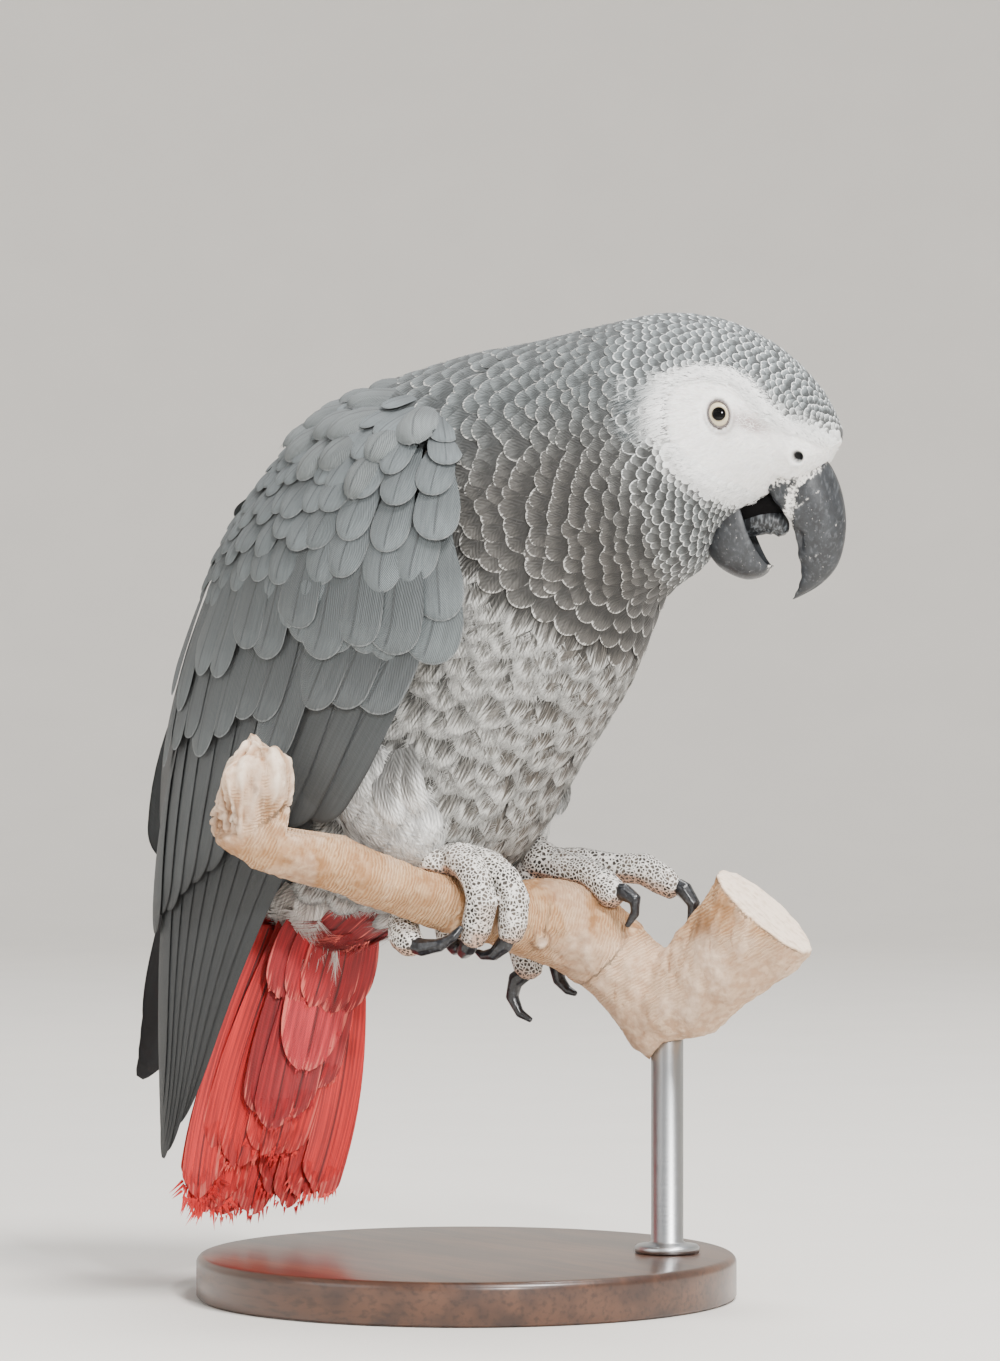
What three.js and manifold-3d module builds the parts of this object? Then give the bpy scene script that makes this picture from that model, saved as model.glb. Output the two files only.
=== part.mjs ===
// A grey parrot leaning down from a driftwood perch with its bill open, on a plain display stand.
// Millimetres, +Z up. The bird faces +X and its left side is +Y. The origin is the centre of the
// underside of the stand's base.
import * as THREE from 'three';
import Module from 'manifold-3d';
import { mergeVertices } from 'three/addons/utils/BufferGeometryUtils.js';

const wasm = await Module();
wasm.setup();
const vec = (x, y, z) => new THREE.Vector3(x, y, z);

// ---------------------------------------------------------------- driving dimensions
const GAP = 0.3; // clearance between parts that touch
const EPS = 1e-3;

const BASE_RADIUS = 75;
const BASE_HEIGHT = 12;
const BASE_EDGE = 1.5; // rounding of the base's upper edge
const ROD_RADIUS = 4.5;
const ROD_AT = [47, 30]; // where the rod stands on the base, under the perch's elbow
const ROD_TOP = 80; // the rod ends in a hole drilled up into the perch

const HEAD_YAW = THREE.MathUtils.degToRad(20); // the head looks to the bird's left
const HEAD_AT = [80, 10]; // centre of the head in plan
const EYE_RADIUS = 5;
const EYE_SIDE = 18.6; // from the head's middle plane to the centre of an eyeball
const EYE_FORWARD = -1.2;
const EYE_HEIGHT = 242;

const LID_RADIUS = 4.2; // ring of lid round each eye
const LID_THICKNESS = 0.9;
// Rounded forms of the head, mirrored to both sides where they lie off its middle: centre and half
// sizes [forward, left, up].
const CERE = [[18.6, 5.2, 232], [5.5, 4.6, 5.6]];
const NOSTRIL = [[20.6, 8.6, 232.4], [1.3, 2.6, 1.2]];
const MOUTH = [[8.4, 0, 217], [6.4, 5.4, 5.2]];
const LOWER_BILL_HOLLOW = [[5.4, 0, 213.4], [5.2, 4.8, 6]];

const VANE = 0.55; // thickness of a feather vane in the solids
const WING_CORE = 3.6; // thickness of the blade that the wing's feathers grow from
const ROOT_DEPTH = 1.7; // how deep a feather's root lies in it
const TIP_LIFT = 2.8; // how high a covert's tip stands off it
const STEP = 1.3; // each feather lies this much higher than the one in front of it
const REACH = 0.58; // and reaches this much of their spacing to either side

// Sections of the body from the vent to the face: where each meets the line of the back [x, z],
// where it meets the line of the belly [x, z], and its half width.
const BODY = [
  [-60, 106, -53, 96, 4],
  [-67, 119, -38, 96, 20],
  [-72, 140, -14, 106, 33],
  [-76, 166, 13, 122, 40],
  [-74, 194, 32, 148, 42],
  [-60, 225, 46, 168, 42.5],
  [-33, 249, 53, 184, 41.5],
  [0, 259.5, 56, 191.5, 38.5],
  [27, 264, 60, 195, 34.5],
  [47, 268, 65, 198, 31],
  [64, 270.5, 70.5, 201.5, 27],
  [79, 268, 73.5, 206, 23.8],
  [92, 260.5, 78, 213, 19.6],
  [101.5, 250.5, 87, 219.5, 14.2],
  [107, 240, 96, 223.5, 9],
  [108, 234, 103.5, 228.5, 2.6],
];
const NECK_TURN = 6; // over how many millimetres along the body the neck turns to the head's side
const NECK_CUT = 0.43; // where the neck starts and where the head starts, along those sections
const HEAD_CUT = 0.64;

// Bill, in the head's own plane: the outer line [forward, up], the cutting edge [forward, up] and
// the half width.
const BILL_UPPER = [
  [12, 236, 6, 227, 4],
  [19, 235, 8, 224, 7.2],
  [25, 231.4, 10.5, 220.5, 8],
  [29.5, 223, 14, 216, 7.5],
  [31, 214.6, 16, 211.5, 6.4],
  [30.5, 206.5, 18.2, 205.6, 5],
  [28.4, 200.5, 18.8, 200, 3.8],
  [24, 196, 18.2, 196.2, 2.4],
  [18.5, 193.6, 17.2, 193, 0.6],
];
const BILL_LOWER = [
  [-11, 214, -4, 224, 5],
  [-8.5, 208, 1.5, 220, 7.6],
  [-4.5, 202, 5, 212, 7.6],
  [2, 198.6, 8, 206.2, 6],
  [7, 199, 9.8, 203.2, 4],
  [10, 201.4, 10.6, 202.4, 1.5],
];
// The tongue: [forward, up, half depth, half width].
const TONGUE = [
  [1.5, 220.5, 2, 2.2],
  [5.5, 218.5, 3.2, 3.4],
  [9.5, 215, 3.3, 3.6],
  [11, 211.5, 1, 1.2],
];

// Rails of a folded wing from shoulder to tip, for the right wing: front edge, rear edge, and how
// far the blade bulges outwards between them.
const WING_FRONT = [
  [13, -30.5, 246.5], [23, -40.5, 225], [25, -43.5, 203], [24, -45, 180],
  [6, -46.5, 152], [-22, -46, 118], [-49, -43.5, 78], [-73, -39.5, 35],
];
const WING_REAR = [
  [-3, -13, 255.5], [-44, -7, 241], [-74, -4.5, 210], [-88, -4.5, 176],
  [-94, -8, 142], [-93, -16, 112], [-84, -28, 80], [-76, -37.8, 38],
];
const WING_BULGE = [4, 16, 21, 20, 15, 8, 4, 1];
const WING_ROUNDING = 0.62; // below 1 the blade is fuller towards its edges
const SHOULDER = vec(0, 0, 250);
const LEFT_WING_PITCH = THREE.MathUtils.degToRad(11); // the left wing is held further back
const LEFT_WING_AHEAD = 4; // from a shoulder that is further forward
const LEFT_WING_BEND = vec(-10, -25, 0); // and its tip bends back and in over the tail

const TAIL_ROOT = vec(-48, -2.5, 108);
const TAIL_TIP = vec(-72, -8, 17);
const TAIL_TWIST = THREE.MathUtils.degToRad(14);
// Inside the root of the tail: [x, y, z, half depth, half width].
const TAIL_CORE = [
  [-38, -2, 119, 8, 15], [-46, -2.5, 106, 10, 15.5], [-52, -3.5, 92, 9, 14], [-56, -4.5, 77, 5, 11],
  [-60, -5, 60, 1.6, 7],
];
// Rows of feathers, the two central ones first and the rest by turns on either side. from and to: how
// far down the tail they run; height: of the central ones above the middle plane of the tail, towards
// its underside, at root and tip; layer: from one to the next; spread: between shafts, at root and tip.
const TAIL_ROWS = [
  { count: 12, from: 0.08, to: 1, height: [-3, -3], layer: [0.3, 0.75], spread: [3, 4.5], half: 7.8 },
  { count: 5, from: 0.02, to: 0.66, height: [6, 9], layer: [-0.6, -0.9], spread: [4.2, 7.4], half: 8.6 },
  { count: 3, from: 0, to: 0.38, height: [7.6, 11.4], layer: [-0.6, -0.9], spread: [6, 9], half: 9 },
  { count: 3, from: 0.02, to: 0.42, height: [-6, -7.4], layer: [0.6, 0.9], spread: [6, 10], half: 10 },
];

// Stations of the driftwood: [x, y, z, half thickness, half width].
const PERCH = [
  [-20, -68, 156, 6, 6],
  [-24, -67.5, 150, 10, 10],
  [-28.5, -67, 140, 12.2, 12.2],
  [-27.5, -65, 131, 10.6, 10.4],
  [-20.5, -60, 126.5, 8.6, 8.6],
  [-13, -52, 122.6, 7.8, 7.8],
  [-5.7, -45, 118.6, 7.4, 7.4],
  [1.4, -36, 114.4, 7.6, 7.6],
  [9.9, -24, 110, 7.4, 7.4],
  [14.5, -13, 107.4, 8.2, 8.2],
  [18, 3, 105.5, 11.3, 11],
  [24.5, 16, 101.5, 12.6, 12],
  [32, 23, 96, 13, 12],
  [39.5, 27, 86, 12.6, 11],
  [43, 28, 75, 8.6, 8],
  [44, 28, 64, 3, 3],
];
const LIMB = [
  [36, 26, 82, 5, 4],
  [44, 28, 81, 12, 10],
  [55, 30, 86, 13, 12],
  [67, 32, 97, 15, 14],
  [78, 34, 110, 17.5, 16],
  [92, 36, 126, 18, 17],
];
const SAW_CUT = [76, 34, 108]; // the limb is sawn off square here

// Legs, for the right side: [x, y, z, half depth, half width].
const THIGH = [
  [-18, -29, 166, 5, 4],
  [-15, -28.5, 154, 15, 11],
  [-8, -28, 138, 15.5, 12],
  [-1, -25.5, 126, 10.5, 8.5],
  [2, -24.5, 120.5, 3, 3],
];
const RIGHT_SHANK = [[-4, -25, 131], [0, -24.5, 126], [4.4, -23.8, 120.6]];
const LEFT_SHANK = [[-1, 23, 132], [6, 22, 126], [12, 20.5, 120.5]];
const SHANK_RADIUS = 4.2;
const PALM_RADIUS = 5.6;
const TOE_RADIUS = 4.6;
const TOE_TIP_RADIUS = 3.6;
const CLAW_RADIUS = 2.4;
const FOOT_ON_PERCH = [9.9, -24, 110]; // the right foot closes round the perch here
const PERCH_RUN = vec(13.1, 23, -6.6).normalize(); // the perch's own direction at that foot

// The right foot's toes and claws wrap the perch: [along the perch, angle round it, distance out],
// where 0 degrees is in front of the perch and 90 degrees on top of it.
const RIGHT_TOES = {
  toe_right_outer: [[1, 112, 12], [5, 85, 12.8], [9, 50, 13], [12.6, 12, 13], [14, -30, 12.6]],
  toe_right_inner: [[-0.5, 100, 12], [-1, 70, 12.6], [0.5, 35, 12.6], [3, 0, 12.4], [4.5, -50, 12]],
  toe_right_rear: [[-1, 122, 12], [-4, 155, 12.2], [-7, 195, 12.4], [-8.5, 235, 12.8], [-8, 258, 13]],
  toe_right_rear_inner: [[2, 124, 12], [4.5, 155, 12.2], [6.5, 190, 12.2], [7.5, 215, 12]],
};
const RIGHT_CLAWS = {
  toe_right_outer: [[13.9, -33, 12.4], [13.4, -55, 13], [12, -76, 12.6], [11, -92, 11]],
  toe_right_inner: [[4.6, -54, 12], [5.4, -76, 12.6], [6.4, -94, 12], [7, -106, 10.6]],
  toe_right_rear: [[-7.9, 261, 13.2], [-6, 283, 14.4], [-3, 304, 14.2], [-1, 320, 12.6]],
  toe_right_rear_inner: [[7.6, 218, 12], [7.4, 232, 12.4], [6.8, 244, 11.8], [6.2, 252, 10.6]],
};
// The left foot stands open on the wide part of the perch: plain places.
const LEFT_TOES = {
  toe_left_outer: [
    [13, 20.5, 119.5], [22, 25, 119.5], [32, 28, 118.4], [39.5, 30, 118.6], [47, 32.4, 113.5],
  ],
  toe_left_inner: [[13, 20, 119.5], [22, 20, 118], [30, 18.8, 116.6], [37, 17.6, 111.5]],
  toe_left_rear: [[10, 20.5, 118.5], [5, 21, 110], [4, 21.5, 100], [7, 22, 90]],
  toe_left_rear_outer: [[11, 21.5, 118.5], [6.5, 27, 112], [7, 31, 103], [10, 32.5, 96]],
};
const LEFT_CLAWS = {
  toe_left_outer: [[47.6, 32.6, 114.4], [52.4, 33, 111.4], [54, 33, 106], [51, 31.6, 99.5]],
  toe_left_inner: [[37.6, 17.6, 112.6], [42.6, 17, 112], [45, 17, 108.4], [42.6, 16, 103.6]],
  toe_left_rear: [[6, 21.8, 89], [1.6, 21.4, 85.4], [2.8, 21.2, 79], [7, 22, 76]],
  toe_left_rear_outer: [[10, 32.6, 95], [9, 33, 89], [11.4, 33.2, 84.6], [15, 33.2, 83]],
};

// ---------------------------------------------------------------- small tools
const through = (points) => new THREE.CatmullRomCurve3(points.map((p) => vec(...p)), false, 'catmullrom');
const mix = THREE.MathUtils.lerp;
const LEFT = vec(0, 1, 0);

/** Repeatable random numbers from 0 to 1. */
function seeded(seed) {
  let state = seed;
  return () => {
    state = (state + 0x6d2b79f5) | 0;
    let n = Math.imul(state ^ (state >>> 15), 1 | state);
    n = (n + Math.imul(n ^ (n >>> 7), 61 | n)) ^ n;
    return ((n ^ (n >>> 14)) >>> 0) / 4294967296;
  };
}

/** Moves every vertex of a geometry to place(vertex). */
function moved(geometry, place) {
  const position = geometry.attributes.position;
  const point = vec(0, 0, 0);
  for (let i = 0; i < position.count; i++) {
    point.fromBufferAttribute(position, i);
    const target = place(point);
    position.setXYZ(i, target.x, target.y, target.z);
  }
  return geometry;
}

/** Turns a closed geometry into a solid that can be joined and cut. */
function solid(geometry) {
  geometry.deleteAttribute('normal');
  geometry.deleteAttribute('uv');
  const merged = mergeVertices(geometry, EPS);
  const vertProperties = new Float32Array(merged.attributes.position.array);
  const triVerts = new Uint32Array(merged.index.array);
  const corner = (i) => vec(...vertProperties.subarray(3 * i, 3 * i + 3));
  let volume = 0;
  for (let i = 0; i < triVerts.length; i += 3) {
    const [a, b, c] = [corner(triVerts[i]), corner(triVerts[i + 1]), corner(triVerts[i + 2])];
    volume += a.dot(b.cross(c));
  }
  if (volume < 0) {
    for (let i = 0; i < triVerts.length; i += 3) {
      [triVerts[i + 1], triVerts[i + 2]] = [triVerts[i + 2], triVerts[i + 1]];
    }
  }
  return new wasm.Manifold(new wasm.Mesh({ numProp: 3, vertProperties, triVerts }));
}

const joined = (solids) => solids.reduce((whole, next) => whole.add(next));
const cutBy = (body, tools) => tools.reduce((rest, tool) => rest.subtract(tool), body);

/** Keeps the largest closed surface of a solid. */
const largest = (body) => body.decompose().sort((a, b) => b.volume() - a.volume())[0];

/** Keeps what lies beyond a plane through a point, on the side that its normal points to. */
function beyond(body, point, normal) {
  const n = normal.clone().normalize();
  return body.trimByPlane([n.x, n.y, n.z], n.dot(point));
}

/**
 * A rounded form made of sections: frame(t) gives a section's centre and its two half axes, for t
 * from 0 to 1, and the section is an ellipse on them.
 */
class Form {
  constructor(frame) {
    this.frame = frame;
  }

  /** A point of the surface; grow lies further out all round. */
  point(t, angle, grow = 0) {
    const { centre, across, rise } = this.frame(t);
    const wider = across.clone().setLength(across.length() + grow);
    const deeper = rise.clone().setLength(rise.length() + grow);
    return centre.addScaledVector(wider, Math.cos(angle)).addScaledVector(deeper, Math.sin(angle));
  }

  along(t) {
    return this.frame(Math.min(1, t + 0.01)).centre.sub(this.frame(Math.max(0, t - 0.01)).centre).normalize();
  }

  /** The form as a solid; wave(t, angle) adds relief. */
  solid(around, lengthwise, grow = 0, wave = () => 0) {
    const ball = new THREE.SphereGeometry(1, around, lengthwise);
    return solid(moved(ball, (p) => {
      const t = Math.acos(THREE.MathUtils.clamp(p.y, -1, 1)) / Math.PI;
      if (t < EPS || t > 1 - EPS) {
        return this.frame(t).centre.addScaledVector(this.along(t), t < 0.5 ? -grow : grow);
      }
      const angle = Math.atan2(p.z, p.x);
      return this.point(t, angle, grow + wave(t, angle));
    }));
  }

  /** What is left of a solid on the side of the section at t that the form runs to (or from). */
  part(body, t, onwards) {
    const { centre, across, rise } = this.frame(t);
    const normal = across.clone().cross(rise).normalize();
    if (normal.dot(this.along(t)) > 0 !== onwards) normal.negate();
    return beyond(body, centre.addScaledVector(normal, GAP / 2), normal);
  }
}

/** A form strung on stations [x, y, z, half depth, half width], its width along side. */
function strung(stations, side = LEFT) {
  const path = through(stations.map((s) => s.slice(0, 3)));
  const size = through(stations.map((s) => [s[3], s[4], 0]));
  return new Form((t) => {
    const along = path.getTangent(t);
    const across = side.clone().addScaledVector(along, -side.dot(along)).normalize();
    const { x: depth, y: width } = size.getPoint(t);
    const rise = along.clone().cross(across).multiplyScalar(depth);
    return { centre: path.getPoint(t), across: across.multiplyScalar(width), rise };
  });
}

/**
 * A form between two lines: each section is [x1, z1, x2, z2, half width], place(x, z) puts a point of
 * either line in space, and side(centre) is the direction of the width there.
 */
function between(sections, place, side) {
  const rail = (at) => through(sections.map((s) => place(s[at], s[at + 1]).toArray()));
  const first = rail(0);
  const second = rail(2);
  const width = through(sections.map((s) => [s[4], 0, 0]));
  return new Form((t) => {
    const centre = second.getPoint(t);
    const rise = first.getPoint(t).sub(centre).multiplyScalar(0.5);
    centre.add(rise);
    return { centre, across: side(centre).setLength(width.getPoint(t).x), rise };
  });
}

/** A thin plate split alike on both faces: x across and y along run from -1 to 1 and 0 to 1. */
function plate(columns, rows, place) {
  const box = new THREE.BoxGeometry(2, 1, 2, columns, rows, 1);
  const back = box.groups[5];
  for (let i = back.start; i < back.start + back.count; i += 6) {
    const index = box.index;
    const [a, b, d, c] = [0, 1, 2, 4].map((k) => index.getX(i + k));
    [a, b, c, a, c, d].forEach((value, k) => index.setX(i + k, value));
  }
  return solid(moved(box, (p) => place(p.x, p.y + 0.5, p.z)));
}

// ---------------------------------------------------------------- feathers
// Width of a vane at each row from its root to its tip.
const ROUND_VANE = { rows: [0, 0.5, 0.86, 1], widths: [0.6, 1, 0.82, 0.34] };
const LONG_VANE = { rows: [0, 0.42, 0.88, 1], widths: [0.7, 1, 0.88, 0.34] };
const NARROW_VANE = { rows: [0, 0.33, 0.68, 1], widths: [0.95, 1, 1, 0.7] };

/**
 * One feather: place(y, across, height) puts a point of it, y from root to tip, across as a share of
 * the spacing of its tier, and height above the shaft. Over one spacing it rises by step, so that it
 * lies on the next one like a roof tile.
 */
function vane(shape, step, place) {
  const last = shape.rows.length - 1;
  return plate(2, last, (x, y, z) => {
    const row = Math.round(y * last);
    const across = x * REACH * shape.widths[row];
    const shaft = Math.abs(x) < 0.5 ? 1.6 : 1;
    return place(shape.rows[row], across, across * step + (z * VANE * shaft) / 2);
  });
}

// Tiers of the folded wing, from the shoulder down. from and to: how far down the wing the roots and
// the tips lie, at the front edge and at the rear edge; rows: where across the wing it lies there.
const WING_TIERS = [
  { // lesser coverts
    count: 5, from: [0.02, 0.03], to: [0.12, 0.2], roots: [0.12, 0.9], tips: [0.1, 0.92],
    shape: ROUND_VANE,
  },
  {
    count: 5, from: [0.08, 0.12], to: [0.2, 0.3], roots: [0.08, 0.93], tips: [0.06, 0.94],
    shape: ROUND_VANE,
  },
  { // median coverts
    count: 6, from: [0.16, 0.22], to: [0.32, 0.41], roots: [0.06, 0.94], tips: [0.06, 0.94],
    shape: ROUND_VANE,
  },
  { // greater coverts
    count: 6, from: [0.26, 0.33], to: [0.45, 0.55], roots: [0.05, 0.94], tips: [0.05, 0.94],
    shape: LONG_VANE,
  },
  { // secondaries
    count: 5, from: [0.39, 0.44], to: [0.58, 0.77], roots: [0.06, 0.95], tips: [0.06, 0.95],
    shape: LONG_VANE,
  },
  { // primaries
    count: 5, from: [0.48, 0.58], to: [0.94, 0.93], roots: [0.08, 0.8], tips: [0.24, 0.92],
    shape: NARROW_VANE,
  },
];

const wingFront = through(WING_FRONT);
const wingRear = through(WING_REAR);
const wingBulge = through(WING_BULGE.map((b) => [b, 0, 0]));

/** A point of the right wing's outer face: s runs from shoulder to tip, t from front to rear edge. */
function onWing(s, t) {
  const front = wingFront.getPoint(s);
  const across = wingRear.getPoint(s).sub(front);
  const out = across.clone().cross(wingFront.getTangent(s)).normalize();
  if (out.y > 0) out.negate();
  const fullness = Math.max(0, 4 * t * (1 - t)) ** WING_ROUNDING;
  return front.addScaledVector(across, t).addScaledVector(out, wingBulge.getPoint(s).x * fullness);
}

function wingNormal(s, t) {
  const step = 0.01;
  const alongS = onWing(Math.min(1, s + step), t).sub(onWing(Math.max(0, s - step), t));
  const alongT = onWing(s, Math.min(1, t + step)).sub(onWing(s, Math.max(0, t - step)));
  const out = alongS.cross(alongT).normalize();
  return out.y > 0 ? out.negate() : out;
}

/** Where a point of the right wing goes on the given side. */
function wingPlace(side) {
  if (side < 0) return (p) => p;
  const turn = new THREE.Matrix4().makeRotationY(LEFT_WING_PITCH);
  return (p) => {
    const q = vec(p.x + LEFT_WING_AHEAD, -p.y, p.z).sub(SHOULDER).applyMatrix4(turn).add(SHOULDER);
    return q.addScaledVector(LEFT_WING_BEND, Math.max(0, (SHOULDER.z - q.z) / 190) ** 3);
  };
}

function wing(side) {
  const random = seeded(7);
  const place = wingPlace(side);
  const core = plate(4, 10, (x, y, z) => {
    const s = 0.015 + y * 0.95;
    const t = 0.5 + 0.47 * x;
    const depth = z > 0 ? 0 : -WING_CORE;
    return place(onWing(s, t).addScaledVector(wingNormal(s, t), depth));
  });
  const feathers = WING_TIERS.flatMap(({ count, from, to, roots, tips, shape }) => (
    Array.from({ length: count }, (_, i) => {
      const share = (i + 0.5) / count;
      const fan = shape === NARROW_VANE ? 0.07 * Math.sin(Math.PI * share) : 0;
      const lift = shape === NARROW_VANE ? TIP_LIFT / 2 : TIP_LIFT;
      const size = mix(0.94, 1.06, random());
      return vane(shape, STEP, (y, across, height) => {
        const s = mix(mix(...from, share), mix(...to, share) + fan, y);
        const within = share - (across * size) / count;
        const t = mix(mix(...roots, within), mix(...tips, within), y);
        return place(onWing(s, t).addScaledVector(wingNormal(s, t), mix(-ROOT_DEPTH, lift, y) + height));
      });
    })
  ));
  return joined([core, ...feathers]);
}

// ---------------------------------------------------------------- the parts
const parts = {};

function finish(name, body, look) {
  const mesh = largest(body).getMesh();
  const geometry = new THREE.BufferGeometry();
  geometry.setAttribute('position', new THREE.BufferAttribute(mesh.vertProperties, 3));
  geometry.setIndex(new THREE.BufferAttribute(mesh.triVerts, 1));
  parts[name] = new THREE.Mesh(geometry, new THREE.MeshStandardMaterial(look));
  parts[name].name = name;
}

const GREY = { color: 0x8d9094, roughness: 0.9, metalness: 0 };
const DARK = { color: 0x3f4347, roughness: 0.8, metalness: 0 };
const RED = { color: 0xb5171f, roughness: 0.85, metalness: 0 };
const HORN = { color: 0x2b2c2f, roughness: 0.45, metalness: 0 };
const SCALE = { color: 0x9b9890, roughness: 0.7, metalness: 0 };
const EYE = { color: 0xd9d2b8, roughness: 0.1, metalness: 0 };
const WOOD = { color: 0xc29a72, roughness: 0.75, metalness: 0 };
const STEEL = { color: 0x8a8d90, roughness: 0.35, metalness: 0.9 };

// The body's middle plane bends to the left at the neck, towards the head's own plane.
const turnX = HEAD_AT[0] - HEAD_AT[1] / Math.tan(HEAD_YAW);
const turned = (x) => Math.exp((x - turnX) / NECK_TURN);
const middleY = (x) => Math.tan(HEAD_YAW) * NECK_TURN * Math.log(1 + turned(x));
const middleSlope = (x) => (Math.tan(HEAD_YAW) * turned(x)) / (1 + turned(x));
const body = between(BODY, (x, z) => vec(x, middleY(x), z), ({ x }) => vec(-middleSlope(x), 1, 0));
const SLOPE = 1.3; // the surface leans, so clearance along its sections is a little more
const bodySolid = (grow) => body.solid(22, 34, SLOPE * grow);

const headForward = vec(Math.cos(HEAD_YAW), Math.sin(HEAD_YAW), 0);
const headLeft = vec(-Math.sin(HEAD_YAW), Math.cos(HEAD_YAW), 0);

/** A point of the head from its forward, left and up measures. */
function headPoint(forward, left, up) {
  return vec(...HEAD_AT, up).addScaledVector(headForward, forward).addScaledVector(headLeft, left);
}
const headForm = (stations) => strung(
  stations.map(([forward, up, ...size]) => [...headPoint(forward, 0, up).toArray(), ...size]),
  headLeft,
);

const billForm = (sections) => between(sections, (x, z) => headPoint(x, 0, z), () => headLeft.clone());
const billUpper = billForm(BILL_UPPER);
const billLower = billForm(BILL_LOWER);
const tongue = headForm(TONGUE);

function eyeball(side, grow = 0) {
  const ball = new THREE.SphereGeometry(EYE_RADIUS + grow, 12, 8);
  const centre = headPoint(EYE_FORWARD, side * EYE_SIDE, EYE_HEIGHT);
  return solid(moved(ball, (p) => p.add(centre)));
}

/** A rounded form of the head on one side of it. */
function lump([centre, size], side = 1) {
  const ball = new THREE.SphereGeometry(1, 10, 7);
  const [forward, left, up] = centre;
  return solid(moved(ball, (p) => (
    headPoint(forward + p.x * size[0], side * left + p.z * size[1], up + p.y * size[2])
  )));
}

/** The ring of lid round an eye, where the ball comes out of the head. */
function lid(side) {
  const ring = new THREE.TorusGeometry(LID_RADIUS, LID_THICKNESS, 5, 14);
  const out = Math.sqrt(EYE_RADIUS ** 2 - LID_RADIUS ** 2);
  const facing = vec(0.14, side, 0.06).normalize();
  const turn = new THREE.Quaternion().setFromUnitVectors(vec(0, 0, 1), facing);
  return solid(moved(ring, (p) => {
    const q = vec(p.x, p.y, p.z + out).applyQuaternion(turn);
    return headPoint(EYE_FORWARD + q.x, side * EYE_SIDE + q.y, EYE_HEIGHT + q.z);
  }));
}

function makeHead() {
  const whole = bodySolid(0);
  finish('torso', body.part(whole, NECK_CUT, false), GREY);
  finish('neck', body.part(body.part(whole, NECK_CUT, true), HEAD_CUT, false), GREY);
  const both = (make) => [make(-1), make(1)];
  const flesh = joined([
    body.part(whole, HEAD_CUT, true),
    ...both((side) => lump(CERE, side)),
    ...both(lid),
  ]);
  const upperClear = billUpper.solid(14, 12, GAP);
  const tongueClear = tongue.solid(8, 6, GAP);
  finish('head', cutBy(flesh, [
    upperClear,
    billLower.solid(12, 8, GAP),
    tongueClear,
    lump(MOUTH),
    ...both((side) => eyeball(side, GAP)),
    ...both((side) => lump(NOSTRIL, side)),
  ]), GREY);
  finish('bill_upper', billUpper.solid(14, 12), HORN);
  const lower = cutBy(billLower.solid(12, 8), [upperClear, tongueClear, lump(LOWER_BILL_HOLLOW)]);
  finish('bill_lower', lower, HORN);
  finish('tongue', cutBy(tongue.solid(8, 6), [upperClear]), HORN);
  finish('eye_right', eyeball(-1), EYE);
  finish('eye_left', eyeball(1), EYE);
}
makeHead();

const perch = strung(PERCH, vec(1, 0, 0));
const limb = strung(LIMB);
const grain = (t, angle) => 0.35 * Math.sin(3 * angle + 17 * t) + 0.3 * Math.sin(31 * t + 2 * angle);
function wood(grow = 0) {
  const both = perch.solid(13, 26, grow, grain).add(limb.solid(13, 9, grow, grain));
  const at = vec(...SAW_CUT);
  return beyond(both, at, limb.along(0.8).negate());
}
const rodSolid = (radius, top) => solid(moved(
  new THREE.CylinderGeometry(radius, radius, top - BASE_HEIGHT - GAP, 16),
  (p) => vec(p.x + ROD_AT[0], -p.z + ROD_AT[1], p.y + (top + BASE_HEIGHT + GAP) / 2),
));

// ---- legs and feet
const aroundPerch = (() => {
  const front = vec(1, 0, 0).addScaledVector(PERCH_RUN, -PERCH_RUN.x).normalize();
  const top = front.clone().cross(PERCH_RUN).normalize();
  return ([along, degrees, out]) => {
    const angle = THREE.MathUtils.degToRad(degrees);
    return vec(...FOOT_ON_PERCH)
      .addScaledVector(PERCH_RUN, along)
      .addScaledVector(front, out * Math.cos(angle))
      .addScaledVector(top, out * Math.sin(angle))
      .toArray();
  };
})();

const SPREAD = vec(0.45, 0.85, 0.28).normalize(); // no toe runs along this direction

/** A rounded limb through points, from one radius to another, with knuckles if swollen. */
function limbForm(points, start, end, swollen = 0) {
  const last = points.length - 1;
  const stations = points.map((p, i) => {
    const radius = mix(start, end, i / last) + (i % 2 ? swollen : 0);
    return [...p, radius, radius];
  });
  const cap = (tip, inner, radius) => {
    const beyondTip = vec(...tip).sub(vec(...inner)).setLength(0.8 * radius).add(vec(...tip));
    return [...beyondTip.toArray(), 0.35 * radius, 0.35 * radius];
  };
  const first = cap(points[0], points[1], start);
  const final = cap(points[last], points[last - 1], end);
  return strung([first, ...stations, final], SPREAD);
}

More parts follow.
